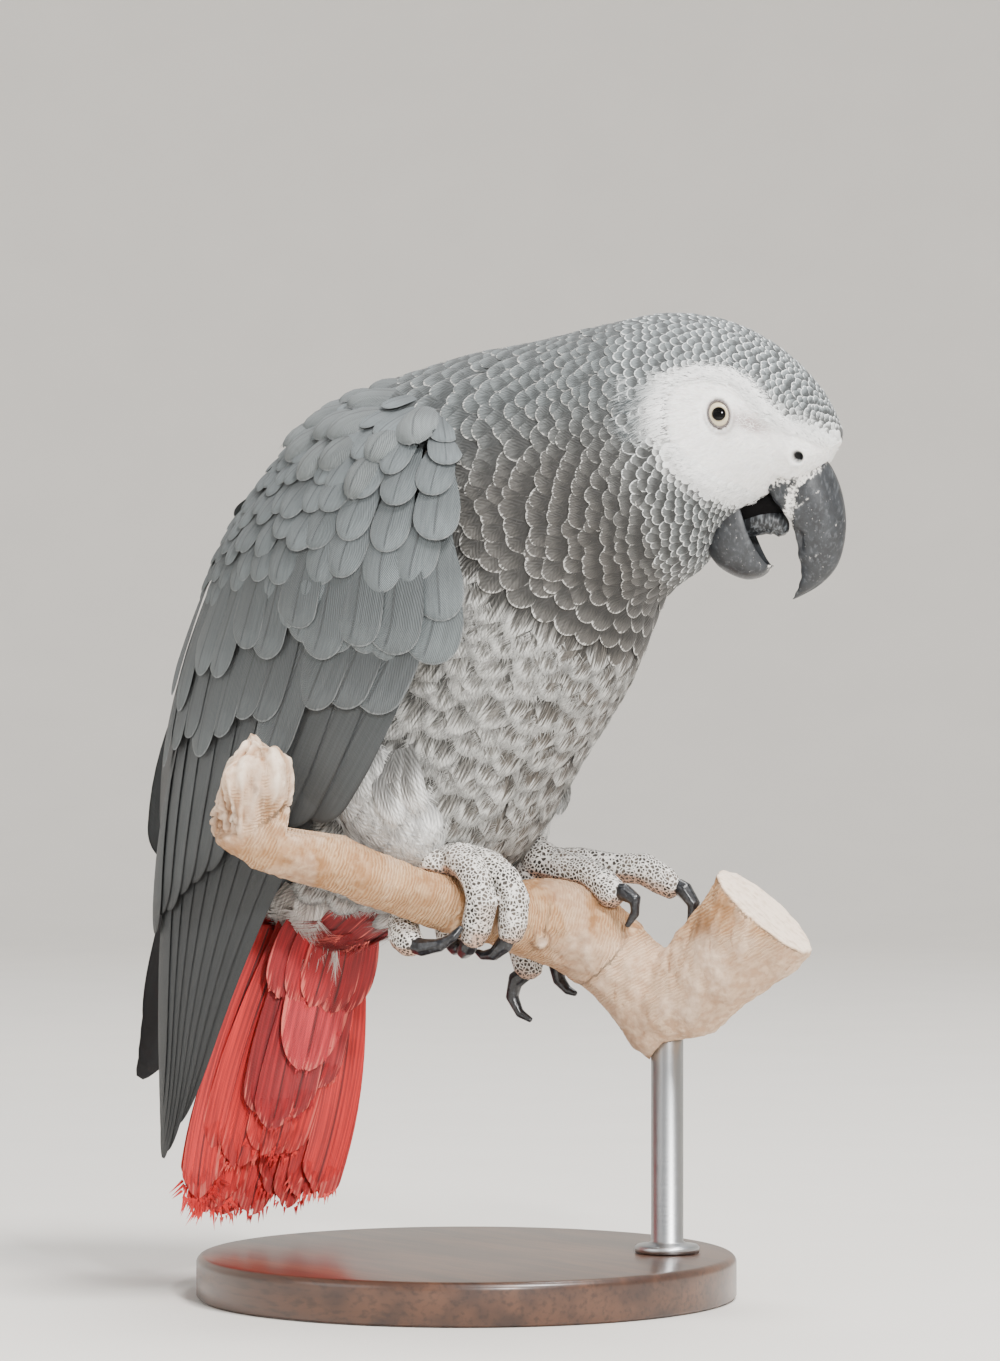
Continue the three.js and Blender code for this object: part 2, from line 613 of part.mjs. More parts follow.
function makeLeg(side, name, shankPoints, toes, claws) {
  const thighForm = strung(THIGH.map(([x, y, ...rest]) => [x, -side * y, ...rest]));
  const shank = limbForm(shankPoints, SHANK_RADIUS, SHANK_RADIUS);
  const palm = (grow) => {
    const ball = new THREE.SphereGeometry(PALM_RADIUS + grow, 10, 6);
    const at = vec(...shankPoints[shankPoints.length - 1]);
    return solid(moved(ball, (p) => p.add(at)));
  };
  const wholeShank = (grow) => shank.solid(10, 7, grow).add(palm(grow));
  const thigh = cutBy(thighForm.solid(14, 9), [bodySolid(GAP), woodClear, wholeShank(GAP)]);
  finish(`thigh_${name}`, thigh, GREY);
  finish(`shank_${name}`, cutBy(wholeShank(0), [bodySolid(GAP), woodClear]), SCALE);
  const earlier = [wholeShank(GAP), woodClear, bodySolid(GAP), thighForm.solid(14, 9, GAP)];
  Object.entries(toes).forEach(([toe, points]) => {
    const form = limbForm(points, TOE_RADIUS, TOE_TIP_RADIUS, 0.5);
    const claw = limbForm(claws[toe], CLAW_RADIUS, 0.5);
    finish(toe, cutBy(form.solid(8, 9), earlier), SCALE);
    const clawName = toe.replace('toe', 'claw');
    earlier.push(form.solid(8, 9, GAP));
    finish(clawName, cutBy(claw.solid(7, 6), earlier), HORN);
    earlier.push(claw.solid(7, 6, GAP));
  });
  return [thighForm.solid(14, 9, GAP), ...earlier];
}

const woodClear = wood(GAP);
const rightLeg = makeLeg(-1, 'right', RIGHT_SHANK, mapValues(RIGHT_TOES), mapValues(RIGHT_CLAWS));
const leftLeg = makeLeg(1, 'left', LEFT_SHANK, LEFT_TOES, LEFT_CLAWS);

function mapValues(table) {
  return Object.fromEntries(Object.entries(table).map(([k, points]) => [k, points.map(aroundPerch)]));
}

// ---- tail and wings
const tailDown = TAIL_TIP.clone().sub(TAIL_ROOT);
const tailAcross = LEFT.clone().applyAxisAngle(tailDown.clone().normalize(), TAIL_TWIST);
const tailBack = tailDown.clone().cross(tailAcross).normalize();
if (tailBack.x > 0) tailBack.negate();

const bodyClear = bodySolid(GAP);

/** A point of the tail: y from root to tip, then across and towards the underside. */
function onTail(y, across, height) {
  return TAIL_ROOT.clone()
    .addScaledVector(tailDown, y)
    .addScaledVector(tailAcross, across)
    .addScaledVector(tailBack, -height);
}

function makeTail() {
  const random = seeded(11);
  const feathers = TAIL_ROWS.flatMap(({ count, from, to, height, layer, spread, half }) => (
    Array.from({ length: count }, (_, rank) => {
      const middle = count % 2 ? Math.ceil(rank / 2) : Math.floor(rank / 2) + 0.5;
      const place = rank % 2 ? middle : -middle;
      const tip = to * (1 - 0.011 * middle - 0.03 * random());
      return vane(LONG_VANE, 0, (y, across, above) => onTail(
        mix(from, tip, y),
        place * mix(...spread, Math.sin(2.3 * y)) + (across / REACH) * half,
        mix(...height, y) + rank * mix(...layer, y) + above,
      ));
    })
  ));
  return joined([strung(TAIL_CORE, tailAcross).solid(10, 6), ...feathers]);
}
finish('tail', cutBy(makeTail(), [bodyClear]), RED);
finish('wing_right', cutBy(wing(-1), [bodyClear, ...rightLeg.slice(0, 1)]), DARK);
finish('wing_left', cutBy(wing(1), [bodyClear, ...leftLeg.slice(0, 1)]), DARK);

finish('perch', cutBy(wood(), [rodSolid(ROD_RADIUS + GAP, ROD_TOP + GAP)]), WOOD);
finish('stand_rod', rodSolid(ROD_RADIUS, ROD_TOP), STEEL);
const baseOutline = [
  [0, 0], [BASE_RADIUS, 0], [BASE_RADIUS, BASE_HEIGHT - BASE_EDGE],
  [BASE_RADIUS - BASE_EDGE, BASE_HEIGHT], [0, BASE_HEIGHT],
].map((p) => new THREE.Vector2(...p));
finish('stand_base', solid(moved(
  new THREE.LatheGeometry(baseOutline, 40),
  (p) => vec(p.x, -p.z, p.y),
)), WOOD);

const parrot = new THREE.Group();
parrot.name = 'grey_parrot';
Object.values(parts).forEach((mesh) => parrot.add(mesh));
export default parrot;
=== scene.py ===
# %% [markdown]
# # A grey parrot on its perch
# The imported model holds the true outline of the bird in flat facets. Here each of its parts gets a
# finished surface: skin, horn, some three thousand separate feathers, driftwood, a turned foot. The
# frame is opened first and never moved, so everything below is placed in its measures: the bird
# faces +X, its left side is +Y, and the origin lies under the middle of the stand.

# %% Open the frame
import math
from functools import partial

import bmesh
import bpy
import numpy as np
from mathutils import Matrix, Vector, noise
from mathutils.kdtree import KDTree


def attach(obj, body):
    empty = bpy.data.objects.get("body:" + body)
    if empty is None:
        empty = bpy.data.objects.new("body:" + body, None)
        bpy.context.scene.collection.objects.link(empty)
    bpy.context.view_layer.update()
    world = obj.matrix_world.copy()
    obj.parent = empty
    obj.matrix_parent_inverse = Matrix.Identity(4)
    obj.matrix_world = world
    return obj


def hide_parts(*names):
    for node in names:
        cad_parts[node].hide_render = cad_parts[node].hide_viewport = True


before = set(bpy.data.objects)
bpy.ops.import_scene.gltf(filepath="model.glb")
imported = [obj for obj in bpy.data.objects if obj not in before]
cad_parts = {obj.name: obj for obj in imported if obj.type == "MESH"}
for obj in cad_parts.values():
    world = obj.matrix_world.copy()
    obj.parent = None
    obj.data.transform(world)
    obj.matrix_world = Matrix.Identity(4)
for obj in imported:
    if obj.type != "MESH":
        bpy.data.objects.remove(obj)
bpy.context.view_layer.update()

MM = 0.001
print("nodes in the frame:", len(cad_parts))

# %% [markdown]
# ## The camera
# A long lens a metre and a half away, at the height of the bird's breast, looks level across the
# bird's right shoulder. The lens is worked out from how many pixels a millimetre takes at the bird,
# which is easier to measure than a focal length. The camera comes first, because every choice of
# feather size below depends on what it can see.

# %% Set up the camera
FRAME_HIGH = 1361
PIXELS_PER_MM = 3.6
LOOK = math.radians(32)
CAMERA_AWAY, CAMERA_HIGH, CAMERA_ASIDE = 1500, 171, 9.3
SENSOR = 36
# Which way is right, and which is nearer, in that view.
VIEW_RIGHT, VIEW_NEAR = np.array([0.848, 0.53, 0]), np.array([0.53, -0.848, 0])


def make_camera():
    data = bpy.data.cameras.new("camera")
    data.sensor_fit = "VERTICAL"
    data.sensor_height = SENSOR
    data.lens = SENSOR * PIXELS_PER_MM * CAMERA_AWAY / FRAME_HIGH
    data.clip_end = 50
    camera = bpy.data.objects.new("camera", data)
    bpy.context.collection.objects.link(camera)
    right = np.array([math.cos(LOOK), math.sin(LOOK), 0])
    back = np.array([math.sin(LOOK), -math.cos(LOOK), 0])
    place = (right * CAMERA_ASIDE + back * CAMERA_AWAY + [0, 0, CAMERA_HIGH]) * MM
    camera.location = Vector(place)
    camera.rotation_euler = (math.pi / 2, 0, LOOK)
    bpy.context.scene.camera = camera
    print("lens: %.1f mm" % data.lens)


make_camera()

# %% [markdown]
# ## Colours and nodes
# Colours are given as the hex values that a paint program shows. Those are coded for a screen, and
# a shader adds up light, so one function decodes them. A second function adds any node together with
# its settings and its links: every material below is then read from top to bottom like a recipe.

# %% Helpers for materials
def linear(hex_colour):
    """An sRGB hex colour as the linear values that a shader takes."""
    parts = [int(hex_colour[i:i + 2], 16) / 255 for i in (1, 3, 5)]
    return tuple(c / 12.92 if c <= 0.04045 else ((c + 0.055) / 1.055) ** 2.4 for c in parts) + (1.0,)


def rgb(hex_colour):
    """The same for colours that are mixed and painted on vertices."""
    return np.array(linear(hex_colour)[:3])


# Plain words for sums, for a smooth change (value, from, to, low, high) and for one colour over
# another (amount, colour, colour on top).
SUMS = {"plus": "ADD", "minus": "SUBTRACT", "times": "MULTIPLY", "over": "DIVIDE", "larger": "MAXIMUM",
        "root": "SQRT", "size": "ABSOLUTE", "sine": "SINE"}
WORDS = {word: ("Math", {"operation": operation}) for word, operation in SUMS.items()}
WORDS["fade"] = ("MapRange", {"interpolation_type": "SMOOTHSTEP"})
WORDS["blend"] = ("Mix", {"data_type": "RGBA"})
WORDS["tint"] = ("Mix", {"data_type": "RGBA", "blend_type": "MULTIPLY"})


def put(tree, kind, *values, out=None, **settings):
    """
    Adds a node and returns its first result, or the one called out. The values go to its open
    sockets in their order, and so do settings whose names start with a capital, by name. A value is
    a number, a colour, or the result of another node to link to.
    """
    kind, fixed = WORDS.get(kind, (kind, {}))
    new = tree.nodes.new("ShaderNode" + kind)
    for name, value in {**fixed, **settings}.items():
        if name[0].islower():
            setattr(new, name, value)
    given = list(zip([socket for socket in new.inputs if socket.enabled], values))
    given += [(new.inputs[name], value) for name, value in settings.items() if name[0].isupper()]
    for socket, value in given:
        if isinstance(value, bpy.types.NodeSocket):
            tree.links.new(value, socket)
        else:
            socket.default_value = value
    return new.outputs[out] if out else next(socket for socket in new.outputs if socket.enabled)


def new_material(name, **settings):
    """A material with one Principled shader set up, and the function that adds nodes to it."""
    material = bpy.data.materials.new(name)
    material.use_nodes = True
    shader = material.node_tree.nodes["Principled BSDF"]
    for socket, value in settings.items():
        shader.inputs[socket.replace("_", " ")].default_value = value
    return material, partial(put, material.node_tree)


def finish(material, relief=None, depth_mm=0.0, strength=1.0, **looks):
    """Links looks to the shader, and raises the surface by relief, from 0 to 1, times a depth."""
    tree = material.node_tree
    if relief is not None:
        looks["Normal"] = put(tree, "Bump", Height=relief, Distance=depth_mm * MM, Strength=strength)
    for socket, look in looks.items():
        tree.links.new(look, tree.nodes["Principled BSDF"].inputs[socket.replace("_", " ")])
    return material


def speckle(add, size_mm, detail=3.0, stretch=(1, 1, 1), turn=(0, 0, 0)):
    """Noise whose blotches are about size_mm across, longer along an axis where stretch is below 1."""
    turned = add("Mapping", add("TexCoord", out="Object"), Rotation=turn)
    return add("TexNoise", add("Mapping", turned, Scale=stretch), 1 / (size_mm * MM), detail)


# %% [markdown]
# ## Curves, and forms made of sections
# A body, a bill or a toe is a row of ellipses along a path. A smooth curve through the few sections
# that were measured gives all those in between. Blender could loft them with curve objects, but the
# feathers have to know exactly where the surface is and which way it faces, so the form is kept as a
# function, and a ball from bmesh is moved on to it vertex by vertex.

# %% Curves and forms
def spline(points, t):
    """Points of the smooth curve through a list of points; t runs from 0 to 1."""
    known = np.asarray(points, float)
    t = np.clip(np.asarray(t, float), 0, 1)
    last = len(known) - 1
    known = np.vstack([2 * known[0] - known[1], known, 2 * known[-1] - known[-2]])
    i = np.minimum((t * last).astype(int), last - 1)
    w = (t * last - i)[:, None]
    a, b, c, d = (known[i + k] for k in range(4))
    return b + 0.5 * w * (c - a + w * (2 * a - 5 * b + 4 * c - d + w * (3 * (b - c) + d - a)))


def unit(vectors):
    return vectors / np.maximum(np.linalg.norm(vectors, axis=-1, keepdims=True), 1e-12)


def dot(a, b):
    return np.sum(a * b, axis=-1, keepdims=True)


def mix(a, b, share):
    return a + (b - a) * share


def soft(value, start, end):
    """0 before start, 1 past end, and smooth in between; start may be above end."""
    x = np.clip((value - start) / (end - start), 0, 1)
    return x * x * (3 - 2 * x)


def ring_of(centre, across, rise, angle, grow):
    """Points of ellipses, grown all round by grow."""
    wide = np.linalg.norm(across, axis=1, keepdims=True) + grow
    deep = np.linalg.norm(rise, axis=1, keepdims=True) + grow
    angle = angle[:, None]
    return centre + unit(across) * wide * np.cos(angle) + unit(rise) * deep * np.sin(angle)


def strung(stations, side):
    """A form on stations [x, y, z, half depth, half width], as a function of t, angle and grow."""
    stations = np.asarray(stations, float)

    def place(t, angle, grow=0.0):
        here = spline(stations, t)
        along = unit(spline(stations[:, :3], t + 1e-4) - spline(stations[:, :3], t - 1e-4))
        across = unit(side - along * dot(side, along))
        rise = np.cross(along, across) * here[:, 3:4]
        return ring_of(here[:, :3], across * here[:, 4:5], rise, angle, grow)

    return place


def places_in(bm):
    return np.array([vertex.co[:] for vertex in bm.verts])


def face_outwards(bm):
    bmesh.ops.recalc_face_normals(bm, faces=bm.faces)
    return bm


def moved_to(bm, points):
    """The same faces with their vertices at other places, in millimetres."""
    for vertex, point in zip(bm.verts, points * MM):
        vertex.co = point
    return bm


def moulded(place, around, lengthwise):
    """A ball whose vertices are moved to place(t, angle), in millimetres."""
    bm = bmesh.new()
    bmesh.ops.create_uvsphere(bm, u_segments=around, v_segments=lengthwise, radius=1)
    at = places_in(bm)
    t = np.arccos(np.clip(at[:, 2], -1, 1)) / math.pi
    return face_outwards(moved_to(bm, place(t, np.arctan2(at[:, 1], at[:, 0]))))


def put_in_scene(name, mesh):
    """An object at the origin, from a mesh or a bmesh."""
    if isinstance(mesh, bmesh.types.BMesh):
        bm, mesh = mesh, bpy.data.meshes.new(name)
        bm.to_mesh(mesh)
        bm.free()
    thing = bpy.data.objects.new(name, mesh)
    bpy.context.collection.objects.link(thing)
    return thing


def show(name, mesh, material, stands_for=()):
    """Puts a finished mesh in the scene as a piece of the bird."""
    piece = put_in_scene(name, mesh)
    mesh = piece.data
    mesh.materials.clear()
    mesh.materials.append(material)
    mesh.shade_smooth()
    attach(piece, "root")
    if stands_for:
        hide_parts(*stands_for)
    print("%-18s %7d triangles" % (name, sum(len(p.vertices) - 2 for p in mesh.polygons)))
    return piece


def paint(mesh, name, values):
    """Stores a number or a colour for every vertex."""
    values = np.asarray(values, np.float32)
    if values.ndim == 1:
        mesh.attributes.new(name, "FLOAT", "POINT").data.foreach_set("value", values)
    else:
        rgba = np.ones((len(values), 4), np.float32)
        rgba[:, :3] = values[:, :3]
        mesh.attributes.new(name, "FLOAT_COLOR", "POINT").data.foreach_set("color", rgba.ravel())


def of_vertices(mesh, what):
    """The places, co, or normals, normal, of a mesh's vertices."""
    values = np.empty(len(mesh.vertices) * 3)
    mesh.vertices.foreach_get(what, values)
    return values.reshape(-1, 3)


def vertices_of(mesh):
    return of_vertices(mesh, "co") / MM


# %% [markdown]
# ## The form of the body
# From the vent to the face the bird is one long form between two lines, the back and the belly, with
# a half width at each section. Its middle plane bends to the bird's left where the neck turns the
# head. These are the sizes that the solids were made from, so skin and solids agree.

# %% Sizes of the body and head
# Sections from the vent to the face: back x and z, belly x and z, half width.
BODY = np.array([
    [-60, 106, -53, 96, 4], [-67, 119, -38, 96, 20], [-72, 140, -14, 106, 33], [-76, 166, 13, 122, 40],
    [-74, 194, 32, 148, 42], [-60, 225, 46, 168, 42.5], [-33, 249, 53, 184, 41.5],
    [0, 259.5, 56, 191.5, 38.5], [27, 264, 60, 195, 34.5], [47, 268, 65, 198, 31],
    [64, 270.5, 70.5, 201.5, 27], [79, 268, 73.5, 206, 23.8], [92, 260.5, 78, 213, 19.6],
    [101.5, 250.5, 87, 219.5, 14.2], [107, 240, 96, 223.5, 9], [108, 234, 103.5, 228.5, 2.6],
])
HEAD_YAW = math.radians(20)
HEAD_X, HEAD_Y = 80, 10
NECK_TURN = 6
TURN_X = HEAD_X - HEAD_Y / math.tan(HEAD_YAW)
HEAD_FORWARD = np.array([math.cos(HEAD_YAW), math.sin(HEAD_YAW), 0])
HEAD_LEFT = np.array([-math.sin(HEAD_YAW), math.cos(HEAD_YAW), 0])


def middle_y(x):
    return math.tan(HEAD_YAW) * NECK_TURN * np.log1p(np.exp((x - TURN_X) / NECK_TURN))


def middle_slope(x):
    turned = np.exp((x - TURN_X) / NECK_TURN)
    return math.tan(HEAD_YAW) * turned / (1 + turned)


BACK_LINE = np.stack([BODY[:, 0], middle_y(BODY[:, 0]), BODY[:, 1]], 1)
BELLY_LINE = np.stack([BODY[:, 2], middle_y(BODY[:, 2]), BODY[:, 3]], 1)


def body_surface(t, angle, grow=0.0):
    """The outline of the plumage: angle 0 is the left side, a quarter turn the back."""
    back, belly = spline(BACK_LINE, t), spline(BELLY_LINE, t)
    centre, rise = (back + belly) / 2, (back - belly) / 2
    slope = middle_slope(centre[:, 0])
    across = unit(np.stack([-slope, np.ones_like(slope), np.zeros_like(slope)], 1))
    return ring_of(centre, across * spline(BODY[:, 4:], t), rise, angle, grow)


def head_point(forward, left, up):
    forward, left = np.asarray(forward, float)[..., None], np.asarray(left, float)[..., None]
    base = np.array([HEAD_X, HEAD_Y, 0]) + forward * HEAD_FORWARD + left * HEAD_LEFT
    return base + np.asarray(up, float)[..., None] * np.array([0, 0, 1])


def in_head(points):
    """Forward, left and up measures of points, in the head's own directions."""
    away = points - [HEAD_X, HEAD_Y, 0]
    return away @ HEAD_FORWARD, away @ HEAD_LEFT, points[:, 2]


print("the head turns at x = %.1f mm" % TURN_X)

# %% [markdown]
# ## The skin
# Under the feathers lies one skin, a little inside the outline, so that no gap between feathers
# shows a hole. On the face it is bare: a white, powdery patch round the eye and down to the bill, and
# there it lies at the outline itself. It could be sculpted by hand; moving a dense ball by rules, one
# per feature, keeps each feature's size readable: socket, nostril, the hollow of the mouth.

# %% Features of the face
EYE_FORWARD, EYE_SIDE, EYE_HEIGHT, EYE_RADIUS = -1.2, 18.6, 242, 5
EYE_FACING = (0.14, 1, 0.06)
LID_WIDE, LID_TALL, LID_THICK = 2.75, 3.65, 0.36
LID_TILT = math.radians(-14)  # the top of the opening leans back
# The outline of the bare face, seen from the side: [forward, up], the same on both sides.
FACE_PATCH = np.array([
    [-13, 251], [-6, 253], [2, 252], [7, 248.5], [9.5, 245], [13, 241.5], [17, 238], [23, 235.5],
    [30, 234], [31, 226], [14, 216], [7, 219.5], [1, 221.5], [-4, 224.5], [-10, 229], [-13.5, 236],
    [-14.5, 244],
])
NOSTRIL = (19.0, 231.2)
# Where the cere ends and the horn of the bill begins: up, forward.
CERE_EDGE = ([221, 223, 227.4, 228.8, 230.4, 233.7, 237], [18, 19.7, 22.4, 23.6, 25.9, 27.0, 31])
MOUTH_CENTRE, MOUTH_SIZE = np.array([8.4, 0, 217]), np.array([7, 6.2, 6])
MOUTH_OPENS = np.array([-0.35, 0, 0.94])  # the way skin is pushed out of the hollow of the mouth
HEAD_COAT, NECK_COAT, BODY_COAT = 0.7, 1.8, 2.6


def inside_patch(forward, up):
    """How far inside the bare face a place lies, in millimetres; below 0 outside it."""
    inside = np.zeros(len(forward), bool)
    nearest = np.full(len(forward), 1e9)
    for a, b in zip(FACE_PATCH, np.roll(FACE_PATCH, -1, 0)):
        run = b - a
        share = np.clip(((forward - a[0]) * run[0] + (up - a[1]) * run[1]) / (run @ run), 0, 1)
        gap = np.hypot(forward - a[0] - share * run[0], up - a[1] - share * run[1])
        nearest = np.minimum(nearest, gap)
        crosses = (a[1] > up) != (b[1] > up)
        with np.errstate(divide="ignore", invalid="ignore"):
            inside ^= crosses & (forward < run[0] * (up - a[1]) / run[1] + a[0])
    return np.where(inside, nearest, -nearest)


def from_mouth(points, wider=0.0):
    """1 on the wall of the mouth's hollow, made wider by some millimetres; less inside it."""
    return np.sum(((np.stack(in_head(points), 1) - MOUTH_CENTRE) / (MOUTH_SIZE + wider)) ** 2, 1)


def eye_directions(side):
    """The eye's centre, the way it looks, and the directions across and up its opening."""
    centre = head_point(EYE_FORWARD, side * EYE_SIDE, EYE_HEIGHT)
    facing = EYE_FACING[0] * HEAD_FORWARD + side * EYE_FACING[1] * HEAD_LEFT + [0, 0, EYE_FACING[2]]
    facing = facing / np.linalg.norm(facing)
    forward = np.cross([0, 0, side], facing)
    forward = forward / np.linalg.norm(forward) * -1
    tall = np.cross(facing, forward) * side
    wide = forward * math.cos(LID_TILT) + tall * math.sin(LID_TILT)
    return centre, facing, wide, tall * math.cos(LID_TILT) - forward * math.sin(LID_TILT)


def round_the_eye(points, side):
    """How far points lie from the axis of the eye, 1 at the edge of the lids, and along it in mm."""
    centre, facing, wide, tall = eye_directions(side)
    away = points - centre
    return np.hypot(away @ wide / LID_WIDE, away @ tall / LID_TALL), away @ facing


def skin_point(t, angle):
    """A point of the skin with the features of the face pressed into it."""
    forward, left, up = in_head(body_surface(t, angle))
    bare = soft(inside_patch(forward, up), -1.6, 0.4) * soft(t, 0.62, 0.68)
    coat = np.interp(t, [0, 0.4, 0.6, 0.68, 1], [BODY_COAT, BODY_COAT, NECK_COAT, HEAD_COAT, HEAD_COAT])
    point = body_surface(t, angle, (-coat * (1 - bare))[:, None])
    inward = unit(spline((BACK_LINE + BELLY_LINE) / 2, t) - point)
    forward, left, up = in_head(point)
    side = np.abs(left)
    cere = np.exp(-((forward - 18.5) ** 2 + (up - 231.5) ** 2) / 18) * soft(side, 2, 6)
    lore = np.exp(-((forward - 8) ** 2 + (up - 238.5) ** 2) / 16) * soft(side, 6, 12)
    from_nostril = np.sqrt((forward - NOSTRIL[0]) ** 2 + (up - NOSTRIL[1]) ** 2)
    pit = soft(from_nostril, 1.75, 0.9) * soft(side, 3, 6)
    rim = np.exp(-((from_nostril - 2.1) / 0.6) ** 2) * soft(side, 3, 6)
    point = point + inward * (-1.5 * cere + 1.1 * lore + 2.6 * pit - 0.35 * rim)[:, None]
    past_horn = np.maximum(0, forward - np.interp(up, *CERE_EDGE))
    plate = soft(((forward - 13.4) / 3.4) ** 2 + ((up - 221.3) / 4.6) ** 2, 1.3, 0.8) * soft(side, 2, 4)
    point = point - HEAD_FORWARD * (0.96 * past_horn)[:, None]
    point = point - HEAD_LEFT * (np.sign(left) * 2.8 * plate)[:, None]
    for eye in (-1, 1):
        ratio, depth = round_the_eye(point, eye)
        facing = eye_directions(eye)[1]
        near = (depth > 0) & (ratio < 3)
        out = np.sqrt(np.maximum(EYE_RADIUS ** 2 - (ratio * LID_TALL) ** 2, 0.5))
        socket = out - 1.1
        brow = math.sqrt(EYE_RADIUS ** 2 - LID_TALL ** 2) + 0.62
        target = np.where(ratio < 1, socket, mix(brow, depth, soft(ratio, 1, 2.1)))
        point = np.where(near[:, None], point + facing * (target - depth)[:, None], point)
    pocket = (np.stack(in_head(point), 1) - MOUTH_CENTRE) / MOUTH_SIZE
    way = MOUTH_OPENS / MOUTH_SIZE
    a, b, c = way @ way, pocket @ way, from_mouth(point) - 1
    reach = np.where(c < 0, (-b + np.sqrt(np.maximum(b * b - a * c, 0))) / a, 0)
    return point + reach[:, None] * (MOUTH_OPENS[0] * HEAD_FORWARD + [0, 0, MOUTH_OPENS[2]])


# %% [markdown]
# The ball's rows are shared out unevenly: most of them go to the head, where the camera and the eye
# of a visitor rest. The colours of the face are painted on the vertices by the same measures that
# shaped it, and the shader adds what is finer than the mesh.

# %% Make the skin
SKIN_ROWS = ([0, 0.3, 1], [0, 0.62, 1])
PATCH_WHITE, LORE_PINK, EYE_RING, HOLLOW_SHADE_AND_LINING = "#fbfaf8", "#b5a8a7", "#9a9391", "#0e0d0e"
DOWN_GREY, BREAST_DOWN = "#5c6062", "#4b4743"
# Sections of the right thigh: x, y, z, half depth, half width.
THIGH = [[-18, -29, 166, 5, 4], [-15, -28.5, 154, 15, 11], [-8, -28, 138, 15.5, 12],
         [-1, -25.5, 126, 10.5, 8.5], [2, -24.5, 120.5, 3, 3]]
LEFT = np.array([0, 1, 0])


def thigh_surface(side):
    return strung([[x, -side * y, z, deep, wide] for x, y, z, deep, wide in THIGH], LEFT)


def join_ball(bm, place, around, lengthwise):
    part = moulded(place, around, lengthwise)
    mesh = bpy.data.meshes.new("part")
    part.to_mesh(mesh)
    part.free()
    bm.from_mesh(mesh)
    bpy.data.meshes.remove(mesh)


def face_colours(points):
    """The colours of bare skin and of the down under the coat, with the nostril and the hollow of the mouth
    painted near black: painted shade, and in the mouth its dark lining too.
    """
    forward, left, up = in_head(points)
    side = np.abs(left)
    bare = soft(inside_patch(forward, up), -3.2, -1.4) * soft(forward, -20, -15)
    low = soft(points[:, 2], 190, 150) * soft(points[:, 0], -20, 10)
    down = mix(rgb(DOWN_GREY), rgb(BREAST_DOWN), low[:, None])
    lore = np.exp(-((forward - 7) ** 2 / 20 + (up - 239.8 + 0.35 * (forward - 7)) ** 2 / 5))
    skin = mix(rgb(PATCH_WHITE), rgb(LORE_PINK), np.clip(1.3 * lore * soft(side, 5, 10), 0, 1)[:, None])
    for eye in (-1, 1):
        ratio, depth = round_the_eye(points, eye)
        fold = np.exp(-((ratio - 1.45) / 0.16) ** 2) * soft(up, EYE_HEIGHT + 3, EYE_HEIGHT - 2)
        ring = np.maximum(soft(ratio, 1.35, 1.1), 0.8 * fold) * (depth > 0)
        skin = mix(skin, rgb(EYE_RING), (0.8 * ring)[:, None])
    # Painted shade: the nostril's pit and the hollow of the mouth are painted near black; in the mouth this
    # also stands for its dark lining.
    pit = soft(np.hypot(forward - NOSTRIL[0], up - NOSTRIL[1] - 0.2), 1.5, 1.05) * soft(side, 3, 6)
    dark = np.clip(pit + soft(from_mouth(points, 0.3), 1.15, 0.95), 0, 1)
    skin = mix(skin, rgb(HOLLOW_SHADE_AND_LINING), dark[:, None])
    return mix(down, skin, bare[:, None])


def bare_skin():
    """Bare skin under powder: matt white, with the finest wrinkles and a little light in it."""
    material, add = new_material("powdered_skin", Roughness=0.82, Subsurface_Weight=0.12,
                                 Subsurface_Scale=0.0006, Subsurface_Radius=(1, 0.5, 0.35))
    fine = speckle(add, 0.5, 4, (0.45, 1, 1), (0, 0, -HEAD_YAW))
    cloud = add("fade", speckle(add, 3), 0.3, 0.7, -0.05, 0.03)
    shade = add("plus", add("fade", fine, 0.3, 0.7, 0.9, 1.03), cloud)
    dyed = add("Attribute", attribute_name="Dye")
    colour = add("tint", 1.0, dyed, add("CombineColor", shade, shade, shade))
    return finish(material, fine, 0.16, 0.8, Base_Color=colour)


def make_skin():
    around, rows = ((220, 320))
    bm = moulded(lambda t, angle: skin_point(np.interp(t, *SKIN_ROWS), angle), around, rows)
    for side in (-1, 1):
        join_ball(bm, lambda t, angle, leg=thigh_surface(side): leg(t, angle, -BODY_COAT), 48, 32)
    flesh = ["torso", "neck", "head", "thigh_right", "thigh_left"]
    skin = show("skin", bm, bare_skin(), flesh)
    paint(skin.data, "Dye", face_colours(vertices_of(skin.data)))


make_skin()

# %% [markdown]
# ## Eyes and lids
# A parrot's eye is a ball of which the lids leave a small round window. The iris is a pale yellow
# ring of radial fibres and the pupil is a hole in it; a wet, clear cornea lies over both. Here the
# ball carries iris and pupil as rings by distance from its own axis, and the cornea is a clear coat.
# The lid is a thin dark ring, spun and then studded along its edge.

# %% Make the eyes
IRIS_RADIUS, PUPIL_RADIUS = 3.4, 1.85
IRIS_PALE, IRIS_TAN, IRIS_INNER = "#ded3b8", "#cdbf9d", "#a3957a"
PUPIL_BLACK, EYE_WHITE = "#020202", "#5a544c"
LID_SKIN, LID_WORN = "#4d4644", "#7d7370"
LID_STUDS = 26


